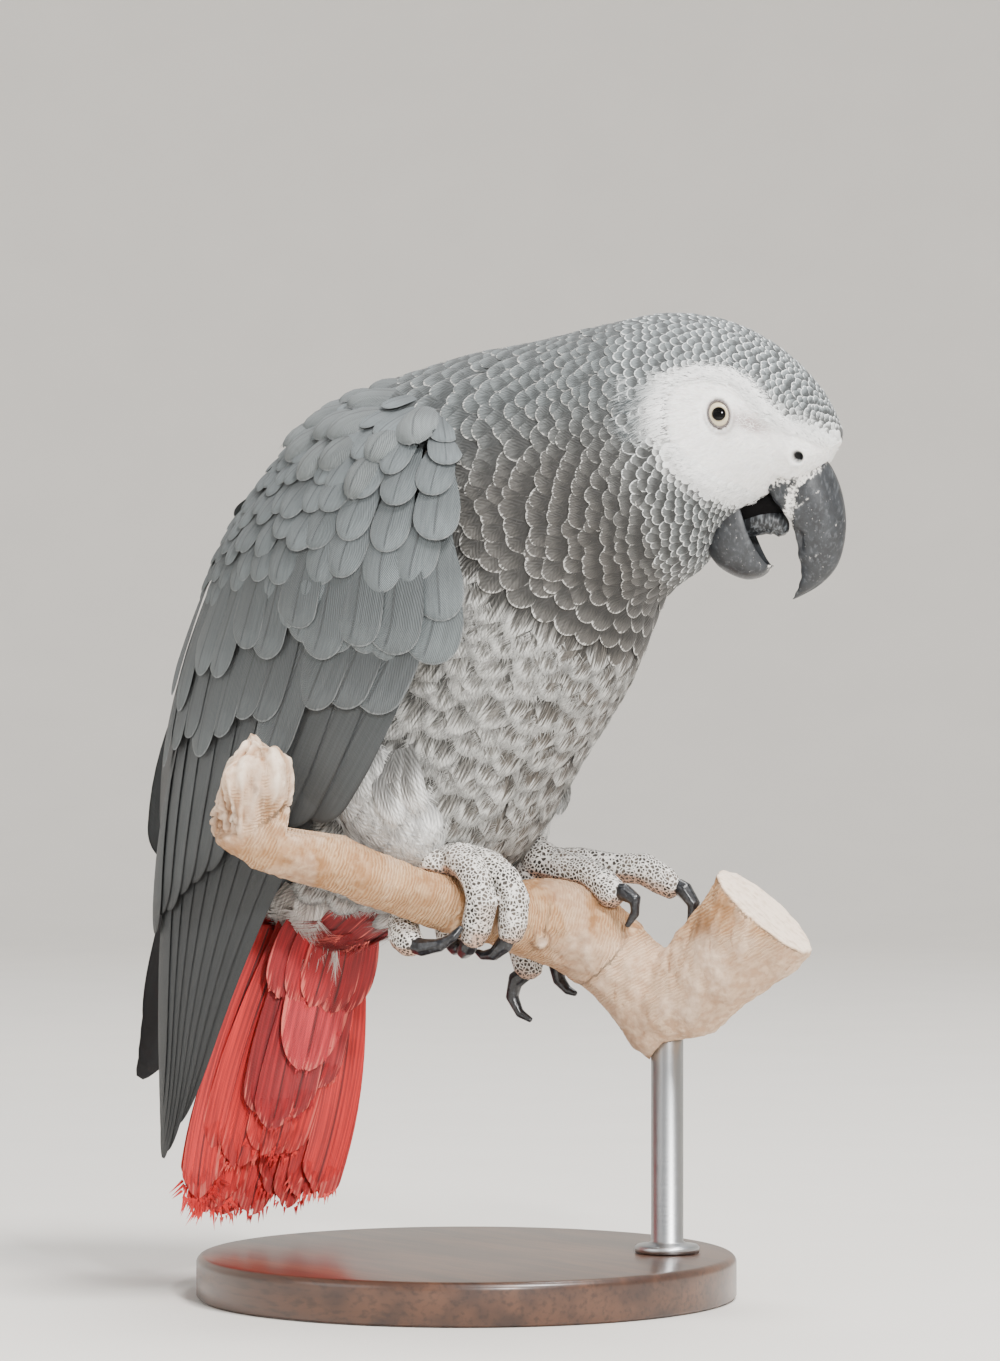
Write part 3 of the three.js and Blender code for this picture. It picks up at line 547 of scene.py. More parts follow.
def eye_material():
    """An eyeball: a clear, wet coat over a fibrous iris gives one sharp highlight on a soft disc."""
    material, add = new_material("eyeball", Roughness=0.4, IOR=1.376, Specular_IOR_Level=0.05,
                                 Coat_Weight=0.8, Coat_Roughness=0.02, Coat_IOR=1.3)
    off_axis = add("Attribute", out="Fac", attribute_name="OffAxis")
    turn = add("Attribute", out="Fac", attribute_name="Round")
    fibres = add("TexNoise", add("times", turn, 34), 1, 3, noise_dimensions="1D")
    iris = add("blend", add("fade", fibres, 0.3, 0.75), linear(IRIS_PALE), linear(IRIS_TAN))
    iris = add("blend", add("fade", off_axis, 2.35, 1.75), iris, linear(IRIS_INNER))
    iris = add("blend", add("fade", off_axis, IRIS_RADIUS - 0.35, IRIS_RADIUS), iris, linear(EYE_WHITE))
    pupil = add("fade", off_axis, PUPIL_RADIUS - 0.07, PUPIL_RADIUS + 0.07)
    colour = add("blend", pupil, linear(PUPIL_BLACK), iris)
    return finish(material, fibres, 0.12, 0.6, Base_Color=colour)


def lid_material():
    """The rim of a lid is thin, nearly naked skin, dark and slightly moist."""
    material, add = new_material("lid_skin", Roughness=0.5)
    grain = speckle(add, 0.35, 3)
    colour = add("blend", add("fade", grain, 0.35, 0.7), linear(LID_SKIN), linear(LID_WORN))
    return finish(material, grain, 0.1, Base_Color=colour)


def on_eye(local, side):
    """Places across, up and out from the middle of an eye, as places in the frame."""
    centre, facing, wide, tall = eye_directions(side)
    return centre + local[:, :1] * wide + local[:, 1:2] * tall + local[:, 2:] * facing


def make_eye(side, name, ball_finish, lid_finish):
    bm = bmesh.new()
    bmesh.ops.create_uvsphere(bm, u_segments=96, v_segments=64, radius=EYE_RADIUS)
    local = places_in(bm)
    off_axis = np.hypot(local[:, 0], local[:, 1])
    bm = face_outwards(moved_to(bm, on_eye(local, side)))
    ball = show("eyeball_" + name, bm, ball_finish, ["eye_" + name])
    paint(ball.data, "OffAxis", np.where(local[:, 2] > 0, off_axis, EYE_RADIUS))
    paint(ball.data, "Round", np.arctan2(local[:, 1], local[:, 0]))

    bm = bmesh.new()
    start = bmesh.ops.create_circle(bm, segments=10, radius=LID_THICK, cap_ends=False)["verts"]
    upright = Vector((0, 0, 1)).rotation_difference(Vector((0, 1, 0))).to_matrix()
    bmesh.ops.rotate(bm, verts=start, cent=(0, 0, 0), matrix=upright)
    bmesh.ops.translate(bm, verts=start, vec=(LID_TALL, 0, 0))
    bmesh.ops.spin(bm, geom=bm.verts[:] + bm.edges[:], cent=(0, 0, 0), axis=(0, 0, 1),
                   angle=2 * math.pi, steps=96, use_merge=True, use_duplicate=False)
    bmesh.ops.remove_doubles(bm, verts=bm.verts, dist=1e-4)
    local = places_in(bm)
    turn = np.arctan2(local[:, 1], local[:, 0])
    ring = np.stack([np.cos(turn), np.sin(turn), 0 * turn], 1)
    stud = 1 + 0.14 * np.maximum(0, np.sin(LID_STUDS * turn)) * (local[:, 2] > -0.1)
    local = ring * LID_TALL + (local - ring * LID_TALL) * stud[:, None]
    local[:, 0] *= LID_WIDE / LID_TALL
    local[:, 2] += math.sqrt(EYE_RADIUS ** 2 - LID_TALL ** 2) + 0.35 + 0.35 * np.cos(turn) ** 2
    show("lid_" + name, face_outwards(moved_to(bm, on_eye(local, side))), lid_finish)


eye_finish, lid_finish = eye_material(), lid_material()
make_eye(-1, "right", eye_finish, lid_finish)
make_eye(1, "left", eye_finish, lid_finish)

# %% [markdown]
# ## Bill and tongue
# The bill is bone under a sheath of horn that keeps growing and flaking, dusted with the powder of
# the bird's own down. Both halves are forms between two measured lines in the head's middle plane. A
# ball moved on to each form gives smooth horn, and small rules add what a smooth form lacks: the
# notch and rim of the cutting edge, the ridge on top, and the hollow of the lower half.

# %% Make the bill
# Sections: outer line forward and up, cutting edge forward and up, half width.
BILL_UPPER = [
    [12, 236, 6, 227, 4], [19, 234.5, 8, 224, 7.2], [24.7, 230.6, 10.2, 220.5, 8],
    [28.4, 223.5, 13.4, 216, 7.5], [30, 214.8, 15.4, 211.5, 6.4], [29.3, 207, 16.8, 205.6, 5],
    [27.1, 201.2, 17.8, 200, 3.8], [22.6, 196.6, 17, 196, 2.4], [16.6, 193.2, 15.6, 192.8, 0.6],
]
BILL_LOWER = [
    [-11, 214, -2, 224.5, 5], [-8.5, 208, 3.8, 220.8, 7.6], [-4.5, 202, 6.4, 212.5, 7.6],
    [2, 198.6, 8.4, 206.4, 6], [7, 199, 9.8, 203.2, 4], [10, 201.4, 10.6, 202.4, 1.5],
]
# Sections of the tongue and of the mouth's floor and roof, near black as its lining and as painted shade:
# forward, up, half depth, half width.
TONGUE = [[1, 212.5, 3, 3.2], [5.5, 214, 3.8, 4], [9.2, 214.4, 3.8, 4], [12, 212.8, 3.2, 3.4],
          [13.4, 210.4, 1.4, 1.6]]
GULLET = [[-3, 217, 3.5, 4], [3, 218, 5, 4.8], [8, 218.8, 4.8, 4.6], [12.5, 219.6, 3.4, 4],
          [15, 220.4, 1.4, 2]]
HORN_DARK, HORN_MID, HORN_SCUFF, HORN_POWDER = "#25272a", "#34373b", "#5d6165", "#e2dfda"
TONGUE_BLACK, TONGUE_GROOVE, MOUTH_BLACK_AND_SHADE, MOUTH_WET = "#1b1d20", "#6d7276", "#060606", "#121112"
# Where the thick horn of the upper half begins: up, forward. Behind it lie powder and a small side plate.
HORN_FRONT = ([205, 210, 215, 222.6, 226.5, 231.2], [15, 16.8, 17.2, 18.8, 23, 25.5])
# The rim of the lower half: up, forward.
LOWER_RIM = ([203, 206.4, 212.5, 220.8, 224.5], [9.8, 8.4, 6.4, 3.8, -2])


def bill_form(sections):
    sections = np.asarray(sections, float)
    outer = head_point(sections[:, 0], 0 * sections[:, 0], sections[:, 1])
    inner = head_point(sections[:, 2], 0 * sections[:, 0], sections[:, 3])

    def place(t, angle, grow=0.0):
        first, second = spline(outer, t), spline(inner, t)
        across = HEAD_LEFT * spline(sections[:, 4:], t)
        return ring_of((first + second) / 2, across, (first - second) / 2, angle, grow)

    return place


def upper_bill(t, angle):
    """The upper half: a ridge on top, a swelling at the edge, a notch before the tip."""
    form = bill_form(BILL_UPPER)
    sine, cosine = np.sin(angle), np.abs(np.cos(angle))
    ridge = 0.35 * np.exp(-((sine - 1) / 0.08) ** 2)
    edge = np.exp(-((sine + 0.72) / 0.2) ** 2)
    swelling = 0.9 * edge * np.exp(-((t - 0.3) / 0.1) ** 2)
    notch = -1.3 * edge * np.exp(-((t - 0.56) / 0.05) ** 2)
    forward, _, up = in_head(form(t, angle))
    behind = np.interp(up, *HORN_FRONT) - forward
    groove = -0.7 * np.exp(-((behind - 1.6) / 1.1) ** 2) * soft(up, 207, 214)
    hollow = -0.9 * np.exp(-((sine + 1) / 0.12) ** 2) * soft(cosine, 0.6, 0.2)
    flakes = 0.12 * np.sin(70 * t + 3 * angle) * soft(sine, -0.2, -0.8)
    square = np.sign(np.cos(angle)) * cosine ** 0.4 - np.cos(angle)
    half = np.interp(t * (len(BILL_UPPER) - 1), range(len(BILL_UPPER)), np.array(BILL_UPPER)[:, 4])
    wall = (half * square * soft(sine, 0.1, -0.5) * soft(t, 0.75, 0.5))[:, None] * HEAD_LEFT
    return form(t, angle, (ridge + swelling + notch + groove + hollow + flakes)[:, None]) + wall


def lower_bill(t, angle):
    """The lower half is a scoop with upright walls: its inside is pressed down between them."""
    form = bill_form(BILL_LOWER)
    sine, cosine = np.sin(angle), np.cos(angle)
    bottom, top = form(t, np.full_like(t, math.pi / 2)), form(t, np.full_like(t, -math.pi / 2))
    square = np.sign(cosine) * np.abs(cosine) ** 0.4 - cosine
    half = np.linalg.norm(form(t, np.zeros_like(t)) - (bottom + top) / 2, axis=1)
    point = form(t, angle) + HEAD_LEFT * (half * square * soft(sine, 0.1, -0.5))[:, None]
    scoop = soft(-sine, 0.5, 0.85) * soft(np.abs(cosine) ** 0.4, 0.9, 0.7) * soft(t, 0.05, 0.3)
    return point + (bottom - top) * (0.6 * scoop)[:, None]


def horn(name, powder):
    """Slate-black horn: a dull gloss under fine scratches, pale flakes and a dusting of powder."""
    material, add = new_material(name, Roughness=0.46, IOR=1.54, Specular_IOR_Level=0.45)
    dust = add("Attribute", out="Fac", attribute_name="Powder")
    cloud = speckle(add, 3.2, 5)
    grit = speckle(add, 0.7, 5)
    stroke = speckle(add, 0.9, 5, (1, 1, 0.3), (0.5, 0.3, 0))
    scratch = add("fade", speckle(add, 0.55, 3, (1, 1, 0.16), (0.6, 0.2, 0.3)), 0.69, 0.75)
    colour = add("blend", add("fade", cloud, 0.3, 0.72), linear(HORN_DARK), linear(HORN_MID))
    colour = add("blend", add("fade", stroke, 0.5, 0.75, 0, 0.6), colour, linear(HORN_SCUFF))
    mottle = add("fade", add("times", grit, stroke), 0.16, 0.36, 0, 0.42)
    cover = add("plus", add("times", dust, 0.6), mottle)
    amount = add("fade", add("plus", cover, powder), 0.6, 0.95)
    amount = add("larger", amount, add("times", scratch, 0.55))
    colour = add("blend", amount, colour, linear(HORN_POWDER))
    relief = add("plus", grit, add("times", scratch, 0.5))
    rough = add("fade", amount, 0, 1, 0.42, 0.8)
    return finish(material, relief, 0.1, 0.7, Base_Color=colour, Roughness=rough)


def tongue_material():
    """A parrot's tongue is thick and black, with a tough, pale-grooved pad at its tip."""
    material, add = new_material("tongue_pad", Roughness=0.4)
    grooves = speckle(add, 0.8, 3, (1, 1, 0.15), (0.3, 0, -HEAD_YAW))
    colour = add("blend", add("fade", grooves, 0.46, 0.72), linear(TONGUE_BLACK), linear(TONGUE_GROOVE))
    return finish(material, grooves, 0.15, Base_Color=colour)


def mouth_lining_and_shade():
    """The lining of the mouth is dark and wet; painted nearly black, it also stands for the shade inside the
    mouth.
    """
    material, add = new_material("mouth_lining_and_shade", Roughness=0.85, Specular_IOR_Level=0.08)
    wet = speckle(add, 0.8, 3)
    return finish(material, wet, 0.1, Base_Color=add("blend", wet, linear(MOUTH_BLACK_AND_SHADE), linear(MOUTH_WET)))


def upper_powder(forward, left, up):
    """Powder lies where the preening bird doesn't rub it off: in the grooves and along the base."""
    behind = np.interp(up, *HORN_FRONT) - forward
    band = soft(behind, -1.0, 1.0) * soft(behind, 4.6, 2.4) * soft(up, 205, 218)
    base = soft(behind, -2.5, 1.5) * soft(up, 221, 226) * soft(np.abs(left), 0.3, 1.6)
    ring = 0.5 * np.exp(-((up - 204.4 - 0.25 * (forward - 22)) / 0.5) ** 2) * soft(forward, 26, 22)
    slash = 0.6 * np.exp(-((up - 220.2 - 0.7 * (forward - 21.5)) / 0.5) ** 2) * soft(forward, 25, 23.5)
    edge = 0.3 * soft(forward, 19, 16.5) * soft(up, 215, 209)
    lip = 0.6 * soft(behind, 5.6, 7) * soft(up, 221, 224)
    return np.max([band, base, ring, slash, edge, lip], 0)


def lower_powder(forward, left, up):
    rim = np.exp(-((forward - np.interp(up, *LOWER_RIM)) / 0.7) ** 2)
    return 0.9 * rim + 0.15 * soft(up, 210, 222)


def make_bill():
    bill_finish = horn("bill_horn", 0.1)
    around, rows = ((128, 128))
    for name, form, powder in (("upper", upper_bill, upper_powder), ("lower", lower_bill, lower_powder)):
        half = show(name + "_bill", moulded(form, around, rows), bill_finish, ["bill_" + name])
        paint(half.data, "Powder", np.clip(powder(*in_head(vertices_of(half.data))), 0, 1))
    for name, sizes, material, replaced in (("tongue_flesh", TONGUE, tongue_material(), ["tongue"]),
                                            ("gullet", GULLET, mouth_lining_and_shade(), [])):
        form = strung([[*head_point(f, 0, u), deep, wide] for f, u, deep, wide in sizes], HEAD_LEFT)
        show(name, moulded(form, 64, 40), material, replaced)


make_bill()

# %% [markdown]
# ## How feathers are laid
# Every contour feather is a curved tile: its root is sunk in the skin, its tip rides over the next
# row, and it follows the skin in between. Blender's hair could lay particles like this, but the model
# has to be plain mesh, so the laying is done here. Three steps make any tract of plumage:
# 1. *sow* spreads roots over a surface at a spacing that changes from place to place, then lets them
#    push each other apart until they sit as evenly as real follicles do; *sow_rings* lays them in rows;
# 2. *comb* walks from each root over the surface, along the lie of the plumage;
# 3. *lay* widens each of those walks into a thin closed blade, and *Plumage* joins them in one mesh.

# %% Surfaces that feathers can stand on
class Surface:
    """A surface point(u, v) with its two tangents and the normal on its outer side."""

    def __init__(self, point, outer, lie, limits, loops=True):
        self.point, self.outer, self.lie, self.limits, self.loops = point, outer, lie, limits, loops

    def frame(self, u, v, step=2e-3):
        at = self.point(u, v)
        u0, u1 = np.clip(u - step, *self.limits), np.clip(u + step, *self.limits)
        along = (self.point(u1, v) - self.point(u0, v)) / (u1 - u0)[:, None]
        across = (self.point(u, v + step) - self.point(u, v - step)) / (2 * step)
        normal = unit(np.cross(along, across))
        return at, along, across, normal * np.sign(dot(normal, self.outer(at, u)) + 1e-9)

    def shift(self, along, across, move):
        """The changes of u and v that make a small move along the surface."""
        e, f, g = dot(along, along)[:, 0], dot(along, across)[:, 0], dot(across, across)[:, 0]
        a, b = dot(move, along)[:, 0], dot(move, across)[:, 0]
        scale = np.maximum(e * g - f * f, 1e-9)
        return (g * a - f * b) / scale, (e * b - f * a) / scale


CROWDING, PUSH, ROUNDS = 0.78, 0.3, 14  # how close roots may start, and how they settle


def sow(surface, spacing, u_range, v_range, seed, tries):
    """Roots on a surface, about spacing(u, v, point) apart."""
    random = np.random.default_rng(seed)
    u = random.uniform(*u_range, tries)
    v = random.uniform(*v_range, tries)
    at, along, across, _ = surface.frame(u, v)
    gap = spacing(u, v, at)
    area = np.linalg.norm(np.cross(along, across), axis=1) / gap ** 2
    keep = random.random(tries) < area / np.quantile(area, 0.98)
    u, v, at, gap = u[keep], v[keep], at[keep], gap[keep]
    chosen = []
    for i in range(len(u)):
        apart = np.sum((at[chosen] - at[i]) ** 2, 1)
        if not chosen or np.min(apart) >= (CROWDING * gap[i]) ** 2:
            chosen.append(i)
    u, v = u[chosen], v[chosen]
    for _ in range(ROUNDS):
        at, along, across, _ = surface.frame(u, v)
        gap = spacing(u, v, at)
        tree = KDTree(len(u))
        for i, point in enumerate(at):
            tree.insert(point, i)
        tree.balance()
        near = np.array([[n[1] for n in tree.find_n(point, 9)][1:] for point in at])
        away = at[:, None] - at[near]
        far = np.linalg.norm(away, axis=2, keepdims=True)
        push = (away / np.maximum(far, 1e-6) * np.maximum(0, 1.12 - far / gap[:, None, None])).sum(1)
        du, dv = surface.shift(along, across, PUSH * gap[:, None] * push)
        u = np.clip(u + du, *u_range)
        v = v + dv if surface.loops else np.clip(v + dv, *v_range)
    return u, v


def sow_rings(surface, spacing, pitch, u_range, seed, jitter):
    """
    Roots in rings round a closed form, laid like bricks: each ring's feathers cover the gaps of the
    next. spacing(u, v, point) is the step along a ring, pitch(u) the share of it between rings.
    """
    random = np.random.default_rng(seed)
    u, v = np.linspace(*u_range, 500), np.linspace(0, 2 * math.pi, 361)
    grid_u, grid_v = (grid.ravel() for grid in np.meshgrid(u, v, indexing="ij"))
    at, along, _, _ = surface.frame(grid_u, grid_v)
    step = spacing(grid_u, grid_v, at) * pitch(grid_u)
    tall = (np.linalg.norm(along, axis=1) / step).reshape(len(u), len(v))
    rings = np.cumsum(tall * (u[1] - u[0]), 0)
    found = []
    for ring in range(int(rings.max())):
        lies = [np.interp(ring + 0.5, column, u, left=np.nan, right=np.nan) for column in rings.T]
        lies = np.array(lies)
        here = ~np.isnan(lies)
        if here.sum() < 5:
            continue
        lies = np.interp(v, v[here], lies[here])
        at = surface.point(lies, v)
        stride = np.linalg.norm(np.diff(at, axis=0), axis=1) / spacing(lies, v, at)[1:] * here[1:]
        walked = np.concatenate([[0], np.cumsum(stride)])
        count = max(1, round(walked[-1]))
        places = (walked[180] / walked[-1] + (np.arange(count) + ring % 2 / 2) / count) % 1.0
        turn = np.interp(places * walked[-1], walked, v)
        found.append(np.stack([np.interp(turn, v, lies), turn], 1))
    u, v = np.concatenate(found).T
    at, along, across, _ = surface.frame(u, v)
    stray = (spacing(u, v, at) * jitter(u))[:, None] * random.normal(0, 1, (len(u), 2))
    u = np.clip(u + stray[:, 0] * pitch(u) / np.linalg.norm(along, axis=1), *u_range)
    return u, v + stray[:, 1] / np.linalg.norm(across, axis=1)


def comb(surface, u, v, length, turn, rows):
    """Walks each feather's length over the surface, its heading turned aside by an angle."""
    low, high = surface.limits
    at, along, across, normal = surface.frame(u, v)
    straight = np.zeros(len(u), bool)
    walk = []
    way = None
    for step in np.diff(rows, prepend=rows[0]):
        if way is not None:
            move = way * (length * step)[:, None]
            du, dv = surface.shift(along, across, move)
            straight |= (u + du < low) | (u + du > high)
            u, v = np.where(straight, u, u + du), np.where(straight, v, v + dv)
            here, along, across, facing = surface.frame(u, v)
            at = np.where(straight[:, None], at + move, here)
            normal = np.where(straight[:, None], normal, facing)
        heading = unit(along) * surface.lie
        aside = np.cross(normal, heading)
        new_way = unit(heading * np.cos(turn)[:, None] + aside * np.sin(turn)[:, None])
        way = new_way if way is None else np.where(straight[:, None], way, new_way)
        walk.append((at, way, normal))
    return [np.stack(rows_of, 1) for rows_of in zip(*walk)]


# %% [markdown]
# A vane's outline is narrow at the root and ends in half an ellipse. Its grid of faces follows that
# outline, so a round tip needs only a few rows. Each vane also carries: its two measures across and
# along as a UV map for the shader, its own colour, how pale its rim is, and a tiny patch of a map of
# the whole surface, which lets a painter's program bake each feather's colour to one texture.

# %% Vanes
ROUND_FROM = 0.6  # in a vane's map, from here to the tip the outline is half an ellipse
BAKE_PATCH = 0.003
SHARP_ANGLE = math.radians(70)


def outline(rows_below, rows_round, round_from=ROUND_FROM):
    """Rows along a vane from root to tip, the share of its width at each, and its place in the map."""
    below = np.linspace(0, round_from, rows_below, endpoint=False)
    arc = np.linspace(0, math.radians(80), rows_round)
    rows = np.concatenate([below, round_from + (1 - round_from) * np.sin(arc)])
    widths = np.concatenate([mix(0.5, 1.0, soft(below, -0.1, 0.9 * round_from)), np.cos(arc)])
    chart = np.concatenate([below / round_from * ROUND_FROM, ROUND_FROM + (1 - ROUND_FROM) * np.sin(arc)])
    return rows, widths, chart


def blade_faces(rows, columns):
    """Faces of a closed blade: an upper and a lower grid that share their border."""
    upper = np.arange(rows * columns).reshape(rows, columns)
    lower = upper.copy()
    inner = np.arange((rows - 2) * (columns - 2)).reshape(rows - 2, columns - 2)
    lower[1:-1, 1:-1] = rows * columns + inner

    def quads(grid):
        return np.stack([grid[:-1, :-1], grid[:-1, 1:], grid[1:, 1:], grid[1:, :-1]], -1).reshape(-1, 4)

    return np.concatenate([quads(upper), quads(lower)[:, ::-1]])


class Plumage:
    """Collects blades and loose barbs and turns them into one mesh."""

    def __init__(self):
        self.points, self.faces, self.vane, self.bake, self.dye, self.rim = [], [], [], [], [], []
        self.count = 0

    def add(self, points, faces, vane, bake, dye, rim):
        """points: (feathers, vertices, 3). faces and vane: for one feather. The rest: per feather."""
        many, each = points.shape[:2]
        starts = self.count + each * np.arange(many)
        self.faces.append((faces[None] + starts[:, None, None]).reshape(-1, faces.shape[1]))
        self.points.append(points.reshape(-1, 3))
        self.vane.append(np.broadcast_to(vane, (many, each, 2)).reshape(-1, 2))
        patch = (vane * 0.5 + [0.5, 0]) * BAKE_PATCH
        self.bake.append((bake[:, None] + patch).reshape(-1, 2))
        self.dye.append(np.broadcast_to(dye[:, None], (many, each, 3)).reshape(-1, 3))
        self.rim.append(np.broadcast_to(np.reshape(rim, (-1, 1)), (many, each)).reshape(-1))
        self.count += many * each

    def mesh(self, name):
        mesh = bpy.data.meshes.new(name)
        points = np.concatenate(self.points) * MM
        corners = np.concatenate([f.ravel() for f in self.faces])
        sizes = np.concatenate([np.full(len(f), f.shape[1]) for f in self.faces])
        mesh.vertices.add(len(points))
        mesh.vertices.foreach_set("co", points.ravel())
        mesh.loops.add(len(corners))
        mesh.loops.foreach_set("vertex_index", corners.astype(np.int32))
        mesh.polygons.add(len(sizes))
        starts = np.concatenate([[0], np.cumsum(sizes)[:-1]])
        mesh.polygons.foreach_set("loop_start", starts.astype(np.int32))
        mesh.update(calc_edges=True)
        for title, values in (("OFBake", self.bake), ("Vane", self.vane)):
            layer = mesh.uv_layers.new(name=title)
            layer.data.foreach_set("uv", np.concatenate(values)[corners].astype(np.float32).ravel())
        paint(mesh, "Dye", np.concatenate(self.dye))
        paint(mesh, "Rim", np.concatenate(self.rim))
        mesh.validate()
        mesh.shade_smooth()
        mesh.set_sharp_from_angle(angle=SHARP_ANGLE)
        return mesh


def lay(plumage, walk, profile, columns, half, shape, bake, dye, rim, bend=None):
    """
    Widens walks into blades. shape holds, in mm, for all feathers or for each: how high root and tip
    lie, the arch across, how far the tip noses down, how far the blade tilts to its right, how deep it
    is torn, its thickness, and an exponent that eases the rise from root to tip.
    """
    track, ways, normals = walk
    rows, widths, chart = profile
    many = len(track)
    x = np.linspace(-1, 1, columns)
    aside = np.cross(normals, ways)
    lateral = half[:, None, None] * widths[None, :, None] * x[None, None]
    y = (rows ** shape.get("ease", 1.0))[None, :, None]

    def each(key):
        return np.reshape(shape.get(key, 0), (-1, 1, 1))

    top = mix(each("root"), each("tip"), y) + each("tilt") * x * widths[None, :, None]
    top = top + each("arch") * np.sqrt(rows)[None, :, None] * (1 - x ** 2) * widths[None, :, None]
    top = top - each("nose") * soft(rows, 0.6, 1)[None, :, None]
    if bend is not None:
        top = top - 0.5 * bend[:, :, None] * lateral ** 2
    ragged = np.random.default_rng(many).random((many, 1, columns)) * soft(rows, 0.7, 1)[None, :, None]
    upper = track[:, :, None] + aside[:, :, None] * lateral[..., None] + normals[:, :, None] * top[..., None]
    upper = upper - ways[:, :, None] * (each("torn") * ragged)[..., None]
    lower = upper - normals[:, :, None] * (shape["thick"] * (1 - x ** 2))[None, None, :, None]
    points = np.concatenate([upper.reshape(many, -1, 3), lower[:, 1:-1, 1:-1].reshape(many, -1, 3)], 1)
    grid = np.stack(np.broadcast_arrays(x[None] * widths[:, None], chart[:, None]), -1)
    vane = np.concatenate([grid.reshape(-1, 2), grid[1:-1, 1:-1].reshape(-1, 2)])
    plumage.add(points, blade_faces(len(rows), columns), vane, bake, dye, rim)


# A loose barb is a closed sliver of four triangles: two corners and an underside at its foot, and its tip.
SLIVER = np.array([[0, 3, 1], [1, 3, 2], [2, 3, 0], [0, 1, 2]])
SLIVER_VANE = np.array([[0.4, 0.93], [0.4, 0.93], [0.4, 0.93], [0.4, 0.97]])


def fringe(plumage, walk, half, length, profile, count, bake, dye, lift=0.0, reach=0.16, splay=0.6, rim=0.4,
           thick=0.05):
    """Loose barbs: slim pointed slips that stand out from the rounded end of each vane."""
    track, ways, normals = walk
    rows = profile[0]
    many = len(track)
    random = np.random.default_rng(many)
    round_from = rows[profile[2] >= ROUND_FROM - 1e-6][0]
    turn = random.uniform(-1.25, 1.25, (many, count))
    y = round_from + (1 - round_from) * np.cos(turn) * random.uniform(0.75, 0.99, turn.shape)
    row = np.clip(np.searchsorted(rows, y), 1, len(rows) - 1)
    share = ((y - rows[row - 1]) / (rows[row] - rows[row - 1]))[..., None]
    pick = np.arange(many)[:, None]
    at = mix(track[pick, row - 1], track[pick, row], share)
    way, normal = ways[pick, row], normals[pick, row]
    aside = np.cross(normal, way)
    rise = np.reshape(lift, (-1, 1)) * y
    foot = at + aside * (np.sin(turn) * half[:, None] * 0.9)[..., None] + normal * rise[..., None]
    lean = splay * turn + random.normal(0, 0.12, turn.shape)
    run = way * np.cos(lean)[..., None] + aside * np.sin(lean)[..., None]
    run = unit(run + normal * random.uniform(-0.16, 0.1, turn.shape)[..., None])
    size = (length[:, None] * reach * random.uniform(0.4, 1.1, turn.shape))[..., None]
    thin = np.cross(run, normal) * (0.012 * size + thick)
    tip = foot + run * size - normal * (0.08 * size)
    points = np.stack([foot - thin, foot + thin, foot - normal * thick, tip], 2).reshape(-1, 4, 3)
    plumage.add(points, SLIVER, SLIVER_VANE, np.repeat(bake, count, 0), np.repeat(dye, count, 0), rim)


def wanders(random, count, amount):
    return random.normal(0, amount, count)


def varied(random, colour, count, amount):
    """A colour, or one for each feather, made a little lighter or darker from feather to feather."""
    return colour * (1 + wanders(random, count, amount))[:, None]


def on_chart(along, round_it):
    """A place in the map of the whole surface, from the two measures of a form; both end up in 0 to 1."""
    return np.stack([along, (round_it / (2 * math.pi)) % 1.0], 1)


# %% [markdown]
# ## The finish of a feather
# A vane is thousands of parallel barbs on each side of a shaft. One barb is thinner than a pixel
# here, so they are drawn some three times coarser, as faint slanting lines that also catch the light
# as relief. On the body the barbs are loose and lie like hair, so streaks along the vane break up its
# pale rim. Deep between the tiles a feather is darker, as less light gets there.

